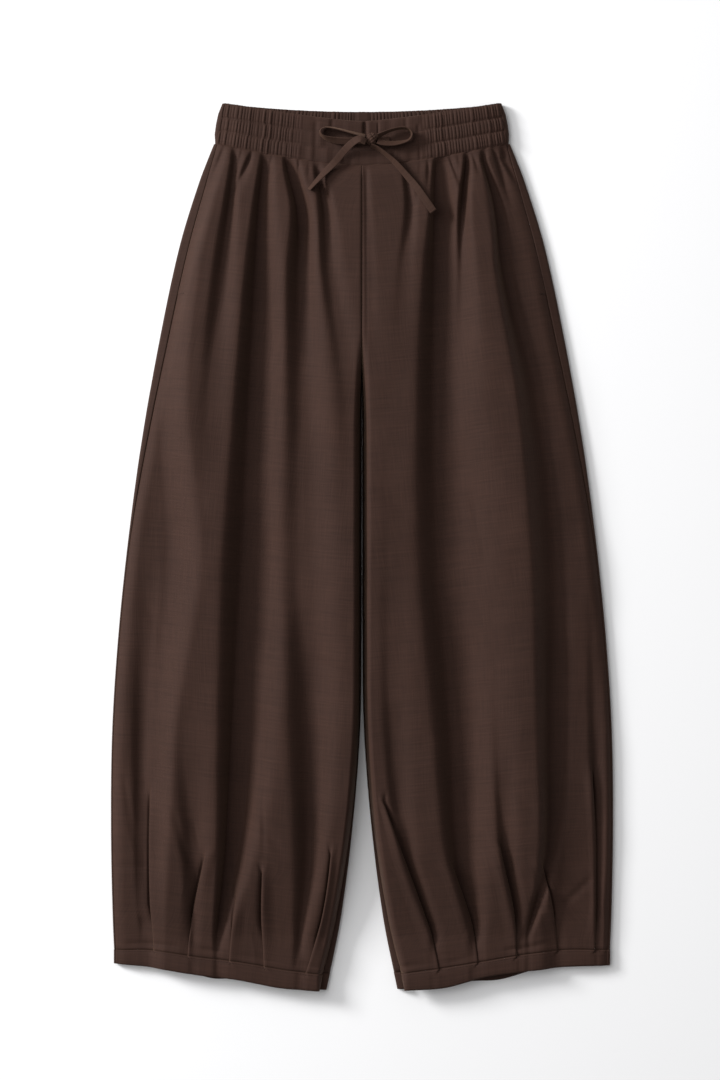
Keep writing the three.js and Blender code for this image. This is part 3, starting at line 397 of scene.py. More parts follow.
def front_height(leg, s, x, y):
    """Height of the front cloth. A dome runs at the height of the crests, steps down to a strip along the side and
    rolls down at both edges; each long fold takes away an uneven bell, exp(-|d / w|^2.6), whose width w differs on its
    two sides; the gathers take away short bells under the waist seam. Away from the edges the cloth is held over
    LOWEST_FRONT by the smooth maximum (v + (v^2 + 3)^0.5) / 2."""
    inner, outer, inner_z, outer_z = edges(leg, s)
    across = np.abs(x)
    crown, ledge, fall_wide = level(CROWN, y), level(LEDGE, y), level(FALL_WIDE, y)
    step = ease(-1, 1, (level(STEP[leg]["x"], y) - across) / level(STEP[leg]["wide"], y))
    side_roll = 1 - (1 - np.clip((outer - across) / 14, 0, 1)) ** 2.2
    inner_roll = mix(1, 1 - (1 - np.clip((across - inner) / 7, 0, 1)) ** 2.2, legs_part(s))
    z = outer_z + (mix(ledge, crown, step) - outer_z) * side_roll
    near_waist, near_hem = ease(330, 420, y), ease(0.95, 1.0, s)
    for fold in LONG_FOLDS.values():
        fall = fold["fall"] * fall_wide
        d = x - level(fold["x"], y) - 0.6 * fall
        wide = np.where(d < 0, fall, fold["rise"] * fall_wide)
        deep = np.maximum(0, level(fold["deep"], y)) * (1 + 0.6 * near_waist) * (1.12 - 0.95 * near_hem)
        z -= deep * np.exp(-(np.abs(d / wide) ** 2.6)) * side_roll
    for side, gathers in WAIST_GATHERS.items():
        for at, shift, wide, deep, reach in gathers:
            k = np.clip(s / reach, 0, 1)
            d = x - LEGS[side] * mix(inner, outer, at + shift * k)
            spread = wide * (0.6 + k) * np.where(d < 0, 0.75, 1.5)
            z -= (0.6 + 0.3 * deep) * deep * (1 - k * k) * np.exp(-((d / spread) ** 2))
    z = inner_z + (z - inner_z) * inner_roll
    z += (rumple(x, y) + creases(x, y)) * side_roll * inner_roll * ease(0, 0.03, s)
    z = mix(band_middle(x, 1.0), z, ease(-0.003, 0.014, s))
    seam = 1.3 * np.exp(-((x / 1.1) ** 2)) + 0.5 * np.exp(-(((x - TOPSTITCH_X) / 1.0) ** 2))
    z -= seam * (1 - legs_part(s)) * ease(0, 0.02, s)
    above = (1 - s) * 900
    pinch = np.exp(-(((above - 8 - 2 * uneven(70, x, 30.0)) / 2.6) ** 2)) * np.maximum(0, uneven(71, x, 21.0) + 0.3)
    z -= 1.0 * np.exp(-((above / 1.6) ** 2)) + 1.5 * pinch * (s < 1)
    over = z - LOWEST_FRONT
    held = LOWEST_FRONT + (over + np.sqrt(over**2 + 3)) / 2
    from_inseam = mix(1, np.clip((across - inner) / 6, 0, 1), legs_part(s))
    return mix(z, held, np.minimum(np.clip((outer - across) / 10, 0, 1), from_inseam))


def front_columns(fill):
    """Columns across a front panel, each as (tuck, index in the tuck's section, share): the sections of the tucks and
    fill columns between them."""
    columns = []
    for i in range(6):
        columns += [(i, -1, k) for k in np.linspace(0, 1, fill + 2)[(0 if i == 0 else 1):(None if i == 5 else -1)]]
        if i < 5:
            columns += [(i, j, 0) for j in range(len(TUCK_SHUT))]
    return np.array(columns)


def front_grid(leg, s, past, fill=13):
    """Points of the front cloth for the shares s of the way from waist to hem seam and past of the way on to the hem's
    edge. Across, the columns pass from even spacing to that of the tucks; down, they run between the curves of the
    waist and the hem. The tucks are caught in the hem's seam, and its band below is smooth."""
    columns = front_columns(fill)
    tuck, part, share = columns[:, 0].astype(int), columns[:, 1].astype(int), columns[:, 2]
    s, past = s[:, None], past[:, None]
    inner, outer, _, _ = edges(leg, s, past)
    down_y = mix(432.0, -457.0, s) - 18 * past
    lines = np.concatenate([curve(-TUCK_Y, row["x"], -down_y) for row in TUCKS[leg]], axis=1)
    formed = np.concatenate([ease(row["top"], row["top"] - 42, down_y) for row in TUCKS[leg]], axis=1)
    shut = ease(0.94, 0.992, s)
    ends = np.concatenate([inner, lines, outer], axis=1)
    room = np.minimum(np.diff(ends)[:, :-1], np.diff(ends)[:, 1:])
    fit = mix(np.minimum(1, room / TUCK_ROOM), 1, shut)
    opened = np.array([TUCK_OPEN[row["opens"]] for row in TUCKS[leg]])
    section = mix(opened, TUCK_SHUT, shut[:, :, None, None])
    spread = np.linspace(section[:, :, 0, 0], section[:, :, -1, 0], len(TUCK_SHUT), axis=2)
    folded = ease(0, 0.6, formed) * (1 - ease(0, 0.25, past))
    section[:, :, :, 0] = mix(spread, section[:, :, :, 0], folded[:, :, None])
    lows = lines + fit * section[:, :, 0, 0]
    highs = lines + fit * section[:, :, -1, 0]
    starts = np.concatenate([inner, highs], axis=1)
    stops = np.concatenate([lows, outer], axis=1)
    in_tuck = part >= 0
    k = np.minimum(tuck, 4)
    formed_section = section[:, k, np.maximum(part, 0)]
    at_tuck = lines[:, k] + fit[:, k] * formed_section[:, :, 0]
    tucked = np.where(in_tuck, at_tuck, mix(starts[:, tuck], stops[:, tuck], share))
    up = np.where(in_tuck, formed_section[:, :, 1] * formed[:, k], 0) * mix(1, 0.12, ease(0, 0.3, past))
    even = mix(inner, outer, np.linspace(0, 1, len(columns))[None, :])
    across = mix(even, tucked, ease(0.42, 0.72, s))
    t = np.clip((across - inner) / (outer - inner), 0, 1)
    seam_y = mix(front_waist_y(t), hem_seam_y(leg, t), s)
    y = mix(seam_y, hem_edge_y(leg, t), past)
    x = LEGS[leg] * across
    puffed = 1.0 * np.sqrt(np.clip(past * 4, 0, 1)) - 0.7 * ease(0.75, 1, past) + 0.25 * past * uneven(72, x, 14.0)
    z = np.maximum(front_height(leg, s, x, y) + up, LOWEST_FRONT - 1) + puffed
    points = np.stack([x, y, z], axis=2)
    return points if leg == "left" else points[:, ::-1]


def curl(seam_in, strength, count):
    """Cross-section of an edge folded up: along the cloth it bends with radius r / strength through the angle that
    brings it back by seam_in, then runs straight. A wide turning isn't pressed flat: it rises by the angle lean to its
    seam, and r is less, so that it ends at the same height. Gives across and up, with the flat at the first point."""
    lean = FOLD_LEAN * np.clip((seam_in - FOLD_RADIUS) / 4, 0, 1)
    r = (2 * FOLD_RADIUS - seam_in * np.tan(lean)) / (1 + np.cos(lean) - np.tan(lean) * (1 - np.sin(lean)))
    angle = np.pi - np.arcsin(np.clip((r - seam_in) / r, 0, 1)) - lean
    bent = r * angle
    straight = np.maximum(0, seam_in - r * (1 - np.sin(lean))) / np.cos(lean)
    along = (bent + straight) * np.linspace(0, 1, count)
    theta = strength * np.minimum(along, bent) / r
    bow = r / np.maximum(strength, 0.02)
    beyond = np.maximum(0, along - bent)
    return bow * np.sin(theta) + beyond * np.cos(theta), bow * (1 - np.cos(theta)) + beyond * np.sin(theta)


def back_grid(leg, s, past, thick, flat=60, count=12):
    """Points of the back cloth: flat on the table, with both edges curled up and over to the seams; faint creases
    lift it off the table."""
    s, past = s[:, None], past[:, None]
    waist_inner, waist_outer = back_waist_y(0), back_waist_y(1)
    inner_y = mix(waist_inner, hem_seam_y(leg, 0), s)
    outer_y = mix(waist_outer, hem_seam_y(leg, 1), s)
    apart = legs_part(s)
    inner = mix(SEAM_SHOWS / 2, outline(INNER, inner_y) + past * inner_lean(leg) + CLOTH / 2, apart)
    outer = outline(OUTER, outer_y) - CLOTH / 2
    in_x, in_z = curl(outline(INSEAM_IN, inner_y), apart, count)
    out_x, out_z = curl(outline(SIDE_SEAM_IN, outer_y) - SEAM_SHOWS, 1.0, count)
    in_reach, out_reach = in_x.max(axis=1, keepdims=True), out_x.max(axis=1, keepdims=True)
    low, high = inner + in_reach, outer - out_reach
    share = np.linspace(0, 1, flat)[None, 1:-1]
    across = np.concatenate([(low - in_x)[:, ::-1], mix(low, high, share), high + out_x], axis=1)
    t = np.clip((across - low) / (high - low), 0, 1)
    y = mix(mix(back_waist_y(t), hem_seam_y(leg, t), s), back_hem_edge_y(leg, t), past)
    x = LEGS[leg] * across
    rise = 1.6 * np.exp(-((np.sin(x * 0.052 + y * 0.004) / 0.16) ** 2)) * ease(0, 0.08, t) * ease(1, 0.92, t)
    rise *= 0.5 + 0.5 * np.sin(y * 0.011 + x * 0.03)
    rise = rise * ease(0, 0.05, s) * (1 - past)
    z = thick / 2 + np.concatenate([in_z[:, ::-1], rise[:, count:-count], out_z], axis=1)
    points = np.stack([x, y, z], axis=2)
    return points if leg == "left" else points[:, ::-1]


def uneven(seed, x, step):
    """An irregular wave between -1 and 1: random values step apart, joined by smooth ramps."""
    values = np.random.default_rng(seed).uniform(-1, 1, 800)
    k = np.asarray(x) / step + 400
    i = np.floor(k).astype(int)
    return mix(values[i], values[i + 1], ease(0, 1, k - i))


def channel_share(v):
    """Weights of the band's three channels at share v of its depth: each is 1 in its own and passes to the next at the
    row of stitching between them."""
    first = ease(1 / CHANNELS + 0.05, 1 / CHANNELS - 0.05, v)
    last = ease(2 / CHANNELS - 0.05, 2 / CHANNELS + 0.05, v)
    return first, 1 - first - last, last


def ribs(along, v, pitch, seed):
    """The gathers of elastic cloth, from 0 in a furrow to 1 on a crest: |sin(pi n)|^0.5, n counting the gathers along
    the band with a different unevenness in each channel, and every furrow of its own depth."""
    shift = sum(w * uneven(seed + c, along, 2.6 * pitch) for c, w in enumerate(channel_share(v)))
    n = along / pitch + 0.5 * shift
    depth = 0.62 + 0.38 * np.random.default_rng(seed).uniform(-1, 1, 800)[np.floor(n).astype(int) + 400]
    return np.abs(np.sin(np.pi * n)) ** 0.5 * depth * (0.5 + 0.5 * puff(v))


def puff(v):
    """How the cloth rises over each channel and is pulled down by the stitching: the root of |sin(3 pi v)|."""
    return np.sqrt(np.abs(np.sin(np.pi * CHANNELS * v)))


def band_half(v):
    return mix(WAIST_TOP_HALF, WAIST_SEAM_HALF, v)


def band_middle(x, v):
    """Height of the middle of the front band's wall, rolling down to the side seams."""
    edge = CLOTH / 2 + turned_height(BAND_SEAM_IN)
    return edge + (BAND_LEVEL - edge) * (1 - (1 - np.clip((band_half(v) - np.abs(x)) / 40, 0, 1)) ** 2.2)


def band_face(x, v):
    """How far the outer face of the front band stands over its middle: channels and gathers at the sides, and at the
    plain centre slight puckers and the creases that the bow pulls in."""
    flat_x = x * WAIST_TOP_HALF / band_half(v)
    gathered = ease(FLAT_FRONT_HALF - 12, FLAT_FRONT_HALF + 7, np.abs(flat_x))
    pitch = (WAIST_TOP_HALF - FLAT_FRONT_HALF) / FRONT_GATHERS
    side = 1.3 * puff(v) + 1.9 * ribs(flat_x, v, pitch, 11) - 1.15
    plain = 0.6 * puff(v) - 0.2 + 0.6 * sum(w * uneven(31 + c, flat_x, 7.5) for c, w in enumerate(channel_share(v)))
    for at, top, bottom, wide, deep in BAND_CREASES:
        inside = ease(top - 0.06, top + 0.06, v) * ease(bottom + 0.1, bottom - 0.1, v)
        plain = plain - deep * np.exp(-(((flat_x - at) / wide) ** 2)) * inside
    return BAND_CLOTH / 2 + mix(plain, side, gathered)


def band_section(rows):
    """Points round the band's wall, as (v, face, over): v down the band, face from 1 on its outer side to -1 on its
    inner one, and over how far past its edge. It runs up the outer side, over the top and down the inner side."""
    round_edge = np.radians([60, 25, -25, -60])
    up, down = np.linspace(1, 0, rows), np.linspace(0, 1, 5)
    v = np.concatenate([up, np.zeros(4), down, np.ones(4)])
    face = np.concatenate([np.ones(rows), np.sin(round_edge), -np.ones(5), -np.sin(round_edge)])
    over = np.concatenate([np.zeros(rows), np.cos(round_edge), np.zeros(5), -np.cos(round_edge)])
    return v[None, :], face[None, :], over[None, :]


def front_band_grid():
    """The front band as rings round its wall, from one side seam to the other."""
    v, face, over = band_section(34)
    q = np.linspace(-1, 1, 800)[:, None]
    x = q * (band_half(v) - BAND_SEAM_IN - SEAM_SHOWS) * (1 + SCALLOP * (puff(v) - 0.6))
    wave = ribs(x, v, (WAIST_TOP_HALF - FLAT_FRONT_HALF) / FRONT_GATHERS, 11) * ease(60, 76, np.abs(x))
    y = mix(front_band_top_y(q), front_waist_y(np.abs(q)) + SEAM_SHOWS, v)
    y = y + 1.1 * over + 0.6 * (wave - 0.5) * (v < 0.02)
    out = np.where(face > 0, face * band_face(x, v), face * BAND_CLOTH / 2)
    return np.stack([x, y, band_middle(x, v) + out], axis=2)


def back_band_grid():
    """The back band as rings round its wall, from the left seam down round the folded side, across the table and up to
    the right seam. Its inner side is gathered all across, and its outer side where it turns up at the sides."""
    v, face, over = band_section(30)
    out, up = curl(np.array([[BAND_SEAM_IN - SEAM_SHOWS]]), 1.0, 24)
    out, up = out.T, up.T
    reach = out.max()
    flat_half = band_half(v) * (1 + SCALLOP * (puff(v) - 0.6)) - BAND_CLOTH / 2 - reach
    q = np.linspace(-1, 1, 800)[:, None]
    x = np.concatenate([-flat_half - out[:0:-1], q * flat_half, flat_half + out[1:]])
    lift = np.concatenate([up[:0:-1], np.zeros_like(q), up[1:]]) + np.zeros_like(x)
    turn_in = np.gradient(x, axis=0), np.gradient(lift, axis=0)
    size = np.hypot(*turn_in)
    away_x, away_z = -turn_in[1] / size, turn_in[0] / size
    t = np.clip(np.abs(x) / flat_half, 0, 1)
    along = np.hypot(np.diff(x[:, :1], axis=0), np.diff(lift[:, :1], axis=0)).cumsum()
    along = np.concatenate([[0], along])[:, None] - 170.0
    pitch = 2 * WAIST_TOP_HALF / BACK_GATHERS
    rib = ribs(along, v, pitch, 51)
    plain = ease(4, 8, np.abs(x - 1.0))
    turned = ease(0.5, 3.0, lift)
    inner = BAND_CLOTH / 2 + plain * (1.5 * rib - 1.1) + 0.4 * puff(v)
    outer = BAND_CLOTH / 2 - (1 - turned) * 0.9 * (1 - rib) + turned * (0.7 * puff(v) + 0.9 * rib - 0.7)
    gap = np.where(face > 0, face * inner, face * outer)
    y = mix(back_band_top_y(t), back_waist_y(t) + SEAM_SHOWS, v) + 1.1 * over + 0.5 * (rib - 0.5) * (v < 0.02)
    z = np.maximum(BAND_CLOTH / 2 + lift + away_z * gap, 0)
    return np.stack([x + away_x * gap, y, z], axis=2)


def cloth_top(x, y):
    """Top of the cloth under the drawstring: the band, and below it the front panels."""
    q = np.clip(np.abs(x) / WAIST_TOP_HALF, 0, 1)
    v = (front_band_top_y(q) - y) / (front_band_top_y(q) - front_waist_y(q))
    on_band = band_middle(x, np.clip(v, 0, 1)) + BAND_CLOTH / 2 + 1.4
    s = np.clip((front_waist_y(q) - y) / (front_waist_y(q) + 460), 0, 1)
    sides = [front_height(leg, s, x, y) for leg in LEGS]
    on_panel = np.where(x > 0, sides[0], sides[1]) + CLOTH / 2
    return mix(on_band, on_panel, ease(0.96, 1.04, v))


def tape_grid(run):
    """Rings along a run of the drawstring. Its middle follows a smooth curve through the run's points over the highest
    cloth beneath it; the section is a flat oval with full sides, |2a/w|^5 + |2b/t|^5 = 1, tilted about the run."""
    run = np.array(run)
    at = np.arange(len(run))
    u = np.linspace(0, len(run) - 1, 16 * len(run))
    x, y, clear, tilt = (curve(at, column, u) for column in run.T)
    tilt = np.radians(tilt)
    forward = np.stack([np.gradient(x), np.gradient(y)])
    forward /= np.hypot(*forward)
    half = TAPE_WIDE / 2 * np.cos(tilt) + 0.8
    shares = np.linspace(-1, 1, 7)[:, None]
    under = cloth_top(x - forward[1] * half * shares, y + forward[0] * half * shares).max(axis=0)
    base = under + TAPE_WIDE / 2 * np.sin(tilt) + TAPE_THICK / 2 * np.cos(tilt)
    near = np.lib.stride_tricks.sliding_window_view(np.pad(base, 8, "edge"), 17).max(axis=1)
    near = np.lib.stride_tricks.sliding_window_view(np.pad(near, 8, "edge"), 17).mean(axis=1)
    z = near + 0.15 + np.maximum(0, clear)
    path = np.stack([x, y, z], axis=1)
    ahead = np.gradient(path, axis=0)
    ahead /= np.linalg.norm(ahead, axis=1, keepdims=True)
    wide = np.stack([-forward[1] * np.cos(tilt), forward[0] * np.cos(tilt), np.sin(tilt)], axis=1)
    thick = np.cross(ahead, wide)
    thick /= np.linalg.norm(thick, axis=1, keepdims=True)
    wide = np.cross(thick, ahead)
    angle = np.linspace(0, 2 * np.pi, 18, endpoint=False)[None, :, None]
    full = lambda wave: np.sign(wave) * np.abs(wave) ** 0.4
    a = TAPE_WIDE / 2 * full(np.cos(angle))
    b = TAPE_THICK / 2 * full(np.sin(angle)) * (1 + 0.25 * np.abs(np.cos(angle)) ** 8)
    return path[:, None, :] + wide[:, None, :] * a + thick[:, None, :] * b, path


def knot_grid():
    """The knot: an oval, 1 - 0.16 of its size deep along two slanting furrows where the turns of tape meet, so that it
    shows a broad middle turn and a lobe at its lower left."""
    turn = np.linspace(0, 2 * np.pi, 60, endpoint=False)[None, :]
    tip = np.linspace(0.04, np.pi - 0.04, 40)[:, None]
    x, y, z = np.sin(tip) * np.cos(turn), np.sin(tip) * np.sin(turn), np.cos(tip) + 0 * turn
    furrow = np.exp(-(((0.8 * x + 0.6 * y - 0.45) / 0.13) ** 2)) + np.exp(-(((0.9 * x + 0.45 * y + 0.5) / 0.13) ** 2))
    folds = 0.05 * np.sin(14 * (0.6 * x - 0.8 * y))
    size = 1 - 0.16 * furrow + folds
    grid = np.stack([x * size * KNOT_WIDE / 2, y * size * KNOT_LONG / 2, z * size * KNOT_HIGH / 2], axis=2)
    return grid + [KNOT_X, KNOT_Y, cloth_top(KNOT_X, KNOT_Y) + KNOT_HIGH / 2 + 0.3]


def capsules(lines, long=2.5, pitch=3.3, thick=0.42):
    """Points and faces of stitches along lines of points: capsules long by thick, pitch apart, half sunk in."""
    places, headings = [], []
    for line in lines:
        steps = np.linalg.norm(np.diff(line, axis=0), axis=1)
        gone = np.concatenate([[0], steps.cumsum()])
        stops = np.arange(pitch / 2, gone[-1], pitch)
        at = np.stack([np.interp(stops, gone, line[:, k]) for k in range(3)], axis=1)
        ahead = np.stack([np.interp(stops + 0.5, gone, line[:, k]) for k in range(3)], axis=1) - at
        places.append(at)
        headings.append(ahead / np.maximum(np.linalg.norm(ahead, axis=1, keepdims=True), 1e-6))
    place, ahead = np.concatenate(places), np.concatenate(headings)
    side = np.cross(ahead, [0.0, 0.0, 1.0])
    side /= np.maximum(np.linalg.norm(side, axis=1, keepdims=True), 1e-6)
    up = np.cross(side, ahead)
    ring = np.linspace(0, 2 * np.pi, 6, endpoint=False)
    run = np.array([-0.5, -0.36, 0, 0.36, 0.5]) * long
    swell = np.array([0.35, 0.9, 1, 0.9, 0.35]) * thick / 2
    across = (swell[:, None] * np.cos(ring)).ravel()
    lift = (swell[:, None] * np.sin(ring)).ravel()
    along = np.repeat(run, 6)
    points = place[:, None] + ahead[:, None] * along[:, None]
    points = points + side[:, None] * across[:, None] + up[:, None] * lift[:, None]
    ids = np.arange(30).reshape(5, 6)
    after = np.roll(ids, -1, axis=1)
    quads = np.stack([ids[:-1], after[:-1], after[1:], ids[1:]], axis=2).reshape(-1, 4).tolist()
    shape = quads + [ids[0, ::-1].tolist(), ids[-1].tolist()]
    faces = [[v + 30 * k for v in face] for k in range(len(place)) for face in shape]
    return points.reshape(-1, 3), faces


# ---- meshes ----
def cloth_uv(grid):
    """Distances along the cloth, across and down, in metres, so that the weave follows its folds."""
    across = np.linalg.norm(np.diff(grid, axis=1), axis=2).cumsum(axis=1)
    across = np.concatenate([np.zeros((len(grid), 1)), across], axis=1)
    middle = across[:, across.shape[1] // 2][:, None]
    down = np.linalg.norm(np.diff(grid, axis=0), axis=2).cumsum(axis=0)
    down = np.concatenate([np.zeros((1, grid.shape[1])), down], axis=0)
    down = mix(down, down.mean(axis=1, keepdims=True), 0.9)
    return np.stack([across - middle, -down], axis=2) * MM


def piece(name, grid, material, around=False, uv=None, ends=False):
    """A mesh on a grid of points in millimetres, rows by columns. around joins the last column to the first, and ends
    closes the first and last ring."""
    rows, columns = grid.shape[:2]
    ids = np.arange(rows * columns).reshape(rows, columns)
    if around:
        ids = np.concatenate([ids, ids[:, :1]], axis=1)
    quads = np.stack([ids[:-1, :-1], ids[1:, :-1], ids[1:, 1:], ids[:-1, 1:]], axis=2).reshape(-1, 4)
    if uv is None:
        uv = cloth_uv(np.concatenate([grid, grid[:, :1]], axis=1) if around else grid)
    spots = np.arange(uv.shape[0] * uv.shape[1]).reshape(uv.shape[:2])
    corners = np.stack([spots[:-1, :-1], spots[1:, :-1], spots[1:, 1:], spots[:-1, 1:]], axis=2).reshape(-1)
    loops = uv.reshape(-1, 2)[corners]
    faces = quads.tolist()
    if ends:
        faces += [ids[0, :columns].tolist(), ids[-1, :columns][::-1].tolist()]
        loops = np.concatenate([loops, uv[0, :columns], uv[-1, :columns][::-1]])
    mesh = bpy.data.meshes.new(name)
    mesh.from_pydata((grid.reshape(-1, 3) * MM).tolist(), [], faces)
    mesh.uv_layers.new(name="cloth").data.foreach_set("uv", loops.astype(np.float32).ravel())
    mesh.polygons.foreach_set("use_smooth", np.ones(len(faces), bool))
    mesh.materials.append(material)
    mesh.update()
    made = bpy.data.objects.new(name, mesh)
    bpy.context.scene.collection.objects.link(made)
    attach(made, "root")
    return made


def thicken(made, thickness):
    shell = made.modifiers.new("cloth", "SOLIDIFY")
    shell.thickness = thickness * MM
    shell.offset = 0
    shell.use_even_offset = False


# ---- materials ----
def shade(hex_colour):
    """sRGB hex to linear RGBA."""
    c = np.array([int(hex_colour[i:i + 2], 16) for i in (1, 3, 5)]) / 255
    linear = np.where(c <= 0.04045, c / 12.92, ((c + 0.055) / 1.055) ** 2.4)
    return (*linear.tolist(), 1.0)


def add(tree, kind, inputs=None, **settings):
    """A node with its settings, each input being given a value or a link."""
    made = tree.nodes.new(kind)
    for key, value in settings.items():
        setattr(made, key, value)
    for key, value in (inputs or {}).items():
        if isinstance(value, bpy.types.NodeSocket):
            tree.links.new(value, made.inputs[key])
        else:
            made.inputs[key].default_value = value
    return made


def slubbed_linen(name, dark, light, bump=0.35):
    """Plain-woven linen and viscose, piece-dyed and washed: matt, with a faint sheen on the crests, fine weft slubs
    across the leg and finer warp lines down it. Threads are 0.5 mm apart, too fine for the render, so the streaks
    are drawn 1.4 mm apart, as the slubs are. Each noise is stretched to the real width and height of its streaks."""
    material = bpy.data.materials.new(name)
    material.use_nodes = True
    tree = material.node_tree
    tree.nodes.clear()
    place = add(tree, "ShaderNodeUVMap", uv_map="cloth").outputs["UV"]
    noise = {}
    for what, (wide, high, detail) in {
        "slubs": (22, 1.2, 2.0), "long slubs": (70, 2.2, 1.0), "warp": (1.4, 35, 1.0), "dye": (90, 110, 2.0),
    }.items():
        scaled = add(tree, "ShaderNodeMapping", {"Vector": place, "Scale": (1 / (wide * MM), 1 / (high * MM), 1)})
        made = add(tree, "ShaderNodeTexNoise", {"Vector": scaled.outputs[0], "Scale": 1.0, "Detail": detail})
        noise[what] = made.outputs["Fac"]
    weft = add(tree, "ShaderNodeMath", {0: noise["slubs"], 1: noise["long slubs"]}, operation="ADD").outputs[0]
    threads = add(tree, "ShaderNodeMath", {0: weft, 1: noise["warp"]}, operation="ADD").outputs[0]
    tone = add(tree, "ShaderNodeMath", {0: threads, 1: noise["dye"]}, operation="ADD").outputs[0]
    spread = add(tree, "ShaderNodeMapRange", {"Value": tone, "From Min": 1.1, "From Max": 2.9})
    shades = {"Factor": spread.outputs[0], 6: shade(dark), 7: shade(light)}
    colour = add(tree, "ShaderNodeMix", shades, data_type="RGBA")
    weave = add(tree, "ShaderNodeBump", {"Height": threads, "Strength": bump, "Distance": 0.0004})
    shader = add(tree, "ShaderNodeBsdfPrincipled", {
        "Base Color": colour.outputs[2], "Normal": weave.outputs[0], "Roughness": 0.82, "IOR": 1.5,
        "Specular IOR Level": 0.2, "Sheen Weight": 0.15, "Sheen Roughness": 0.45,
        "Sheen Tint": shade("#c9a285"),
    })
    add(tree, "ShaderNodeOutputMaterial", {"Surface": shader.outputs[0]})
    return material


def plain(name, hex_colour, roughness):
    """A matt surface of one colour with a fine grain of 1/60 m."""
    material = bpy.data.materials.new(name)
    material.use_nodes = True
    tree = material.node_tree
    tree.nodes.clear()
    where = add(tree, "ShaderNodeTexCoord").outputs["Object"]
    grain = add(tree, "ShaderNodeTexNoise", {"Vector": where, "Scale": 60.0, "Detail": 3.0})
    weave = add(tree, "ShaderNodeBump", {"Height": grain.outputs["Fac"], "Strength": 0.05, "Distance": 0.0005})
    shader = add(tree, "ShaderNodeBsdfPrincipled", {
        "Base Color": shade(hex_colour), "Normal": weave.outputs[0], "Roughness": roughness,
        "Specular IOR Level": 0.2,
    })
    add(tree, "ShaderNodeOutputMaterial", {"Surface": shader.outputs[0]})
    return material


# All of the one cloth: the back and inside pieces get a slightly darker copy of it as painted shade, and the tape is
# pressed, so its slubs stand out more.
linen = slubbed_linen("slubbed_linen", "#281812", "#3c271f")
# painted shade: the same linen made a little darker, standing for the shade the back and inside pieces lie in
shaded_linen_back = slubbed_linen("slubbed_linen_painted_shade", "#271711", "#39251d")
tape_cloth = slubbed_linen("slubbed_linen_tape", "#2a1a13", "#3f2a21", 0.4)
thread = plain("sewing_thread", "#2e1e18", 0.6)  # spun polyester, matt
paper = plain("white_paper_floor", "#f6f6f7", 0.9)  # uncoated background paper

# ---- camera, floor and light ----
PHOTO_SCALE = 1.1  # millimetres of the table for each pixel of the photo
PHOTO_LONG = 1080
LENS, SENSOR = 85.0, 36.0
CLOTH_LEVEL = 12.0  # the height at which the picture has PHOTO_SCALE
camera_data = bpy.data.cameras.new("camera")
camera_data.lens = LENS
camera_data.sensor_width = SENSOR
camera = bpy.data.objects.new("camera", camera_data)
camera.location = (-2.2 * MM, 7.7 * MM, (PHOTO_LONG * PHOTO_SCALE * LENS / SENSOR + CLOTH_LEVEL) * MM)
bpy.context.scene.collection.objects.link(camera)
bpy.context.scene.camera = camera

floor_mesh = bpy.data.meshes.new("floor")
floor_mesh.from_pydata([(-4, -4, 0), (4, -4, 0), (4, 4, 0), (-4, 4, 0)], [], [(0, 1, 2, 3)])
floor_mesh.materials.append(paper)
floor = bpy.data.objects.new("floor", floor_mesh)
bpy.context.scene.collection.objects.link(floor)


# Square softboxes that face the garment, from the photo's upper left: place, size and power.
for name, place, size, power in (("key", (-4.0, 1.95, 1.95), 1.3, 292), ("high", (-2.1, 1.1, 3.1), 2.8, 74)):
    data = bpy.data.lights.new(name, "AREA")
    data.size = size
    data.energy = power
    lamp = bpy.data.objects.new(name, data)
    x, y, z = place
    lamp.location = place
    lamp.rotation_euler = (np.arctan2(np.hypot(x, y), z), 0, np.arctan2(x, -y))
    bpy.context.scene.collection.objects.link(lamp)
world = bpy.data.worlds.new("studio")
world.use_nodes = True
world.node_tree.nodes["Background"].inputs[0].default_value = shade("#ffffff")
world.node_tree.nodes["Background"].inputs[1].default_value = 0.32
bpy.context.scene.world = world
bpy.context.scene.view_settings.view_transform = "Standard"

# ---- leg panels and hems ----
PANEL_ROWS = np.concatenate([
    np.linspace(0, 0.12, 46)[:-1], np.linspace(0.12, 0.72, 130)[:-1], np.linspace(0.72, 1, 112),
])
BACK_ROWS = np.linspace(0, 1, 150)
HEM_ROWS = np.linspace(0, 1, 10)
for leg in LEGS:
    whole = np.ones_like(HEM_ROWS)
    # Grid, material, slot, thickness of the finished cloth, and cut.
    panels = {
        f"front_{leg}": (front_grid(leg, PANEL_ROWS, 0 * PANEL_ROWS), linen, "cloth", 0.7, FRONT_CUT),
        f"hem_front_{leg}": (front_grid(leg, whole, HEM_ROWS), linen, "cloth", 1.0, HEM_CUT),
        f"back_{leg}": (back_grid(leg, BACK_ROWS, 0 * BACK_ROWS, CLOTH), shaded_linen_back, "inside_cloth", 0.9, BACK_CUT),
        f"hem_back_{leg}": (back_grid(leg, whole, HEM_ROWS, HEM_CLOTH), shaded_linen_back, "inside_cloth", 1.5, HEM_CUT),
    }
    cloths = {}
    for name, (grid, material, slot, thickness, _) in panels.items():
        cloths[name] = piece(f"{name}_cloth", grid, material)
        thicken(cloths[name], thickness)
        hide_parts(name)

bands = {
    "waistband_front": (front_band_grid(), linen, FRONT_BAND_CUT),
    "waistband_back": (back_band_grid(), shaded_linen_back, BACK_BAND_CUT),
}
for name, (grid, material, size) in bands.items():
    weave = cloth_uv(np.concatenate([grid, grid[:, :1]], axis=1))[:, :, ::-1]
    band = piece(f"{name}_cloth", grid, material, around=True, uv=weave, ends=True)
    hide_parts(name)

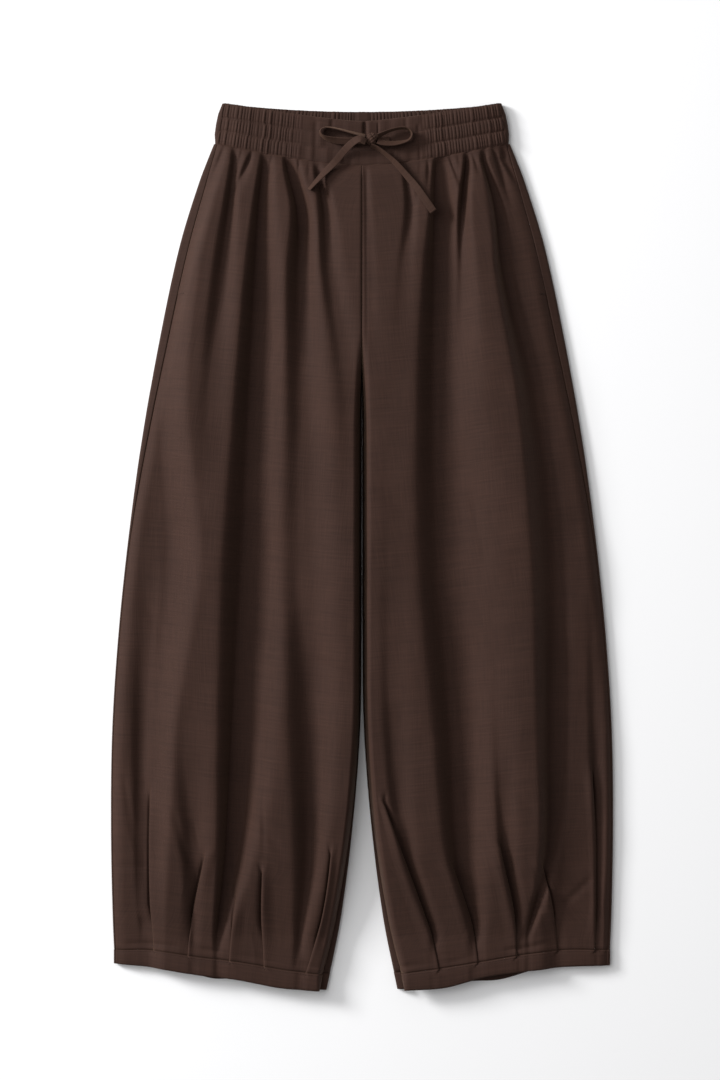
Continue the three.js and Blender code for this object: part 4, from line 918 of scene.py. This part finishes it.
# ---- drawstring ----
tapes, paths = {}, {}
for name, run in TAPE_RUNS.items():
    grid, paths[name] = tape_grid(run)
    weave = cloth_uv(np.concatenate([grid, grid[:, :1]], axis=1))
    tapes[name] = piece(f"drawstring_{name}_tape", grid, tape_cloth, around=True, uv=weave, ends=True)
    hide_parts(f"drawstring_{name}")
knot = piece("drawstring_knot_tape", knot_grid(), tape_cloth, around=True, ends=True)
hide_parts("drawstring_knot")


# ---- sewing ----
def over_tucks(row):
    """The points of a row that show from above: those that no tuck lies over."""
    far = np.abs(row[:, 0])
    row = row if far[0] < far[-1] else row[::-1]
    far = np.abs(row[:, 0])
    return row[far >= np.maximum.accumulate(far) - 1e-6]


# Each row of stitches lies on the cloth's face: over its middle by about half its thickness.
lines = []
for leg in LEGS:
    lines.append(over_tucks(front_grid(leg, np.array([1.0]), np.array([0.09]))[0]) + [0, 0, 0.62])
for row in (1 / CHANNELS, 2 / CHANNELS):
    x = np.linspace(-150, 150, 700)
    q = x / band_half(row)
    y = mix(front_band_top_y(q), front_waist_y(np.abs(q)), row)
    lines.append(np.stack([x, y, band_middle(x, row) + band_face(x, row) + 0.02], axis=1))
s = np.linspace(0.006, 0.262, 200)
y = mix(front_waist_y(0.03), -470.0, s)
x = np.full_like(y, TOPSTITCH_X)
lines.append(np.stack([x, y, front_height("left", s, x, y) + 0.36], axis=1))
turn = np.linspace(0, 2 * np.pi, 30)
for centre in BUTTONHOLES:
    x, y = centre + 1.8 * np.cos(turn), BUTTONHOLE_Y + 4.6 * np.sin(turn)
    top_y = front_band_top_y(x / WAIST_TOP_HALF)
    v = (top_y - y) / (top_y - front_waist_y(0.05))
    lines.append(np.stack([x, y, band_middle(x, v) + band_face(x, v) + 0.05], axis=1))
for leg, side in LEGS.items():
    for row in (0, 0.5, 1.0):
        x = side * (edges(leg, np.array([TACK_S]))[1] - np.linspace(8, 1, 12))
        y = np.full_like(x, POCKET_Y[1] - 2.0 - row)
        lines.append(np.stack([x, y, front_height(leg, np.full_like(x, TACK_S), x, y) + 0.42], axis=1))
points, faces = capsules(lines)
stitches = bpy.data.meshes.new("stitches")
stitches.from_pydata((points * MM).tolist(), [], faces)
stitches.polygons.foreach_set("use_smooth", np.ones(len(faces), bool))
stitches.materials.append(thread)
sewing = bpy.data.objects.new("stitches", stitches)
bpy.context.scene.collection.objects.link(sewing)
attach(sewing, "root")
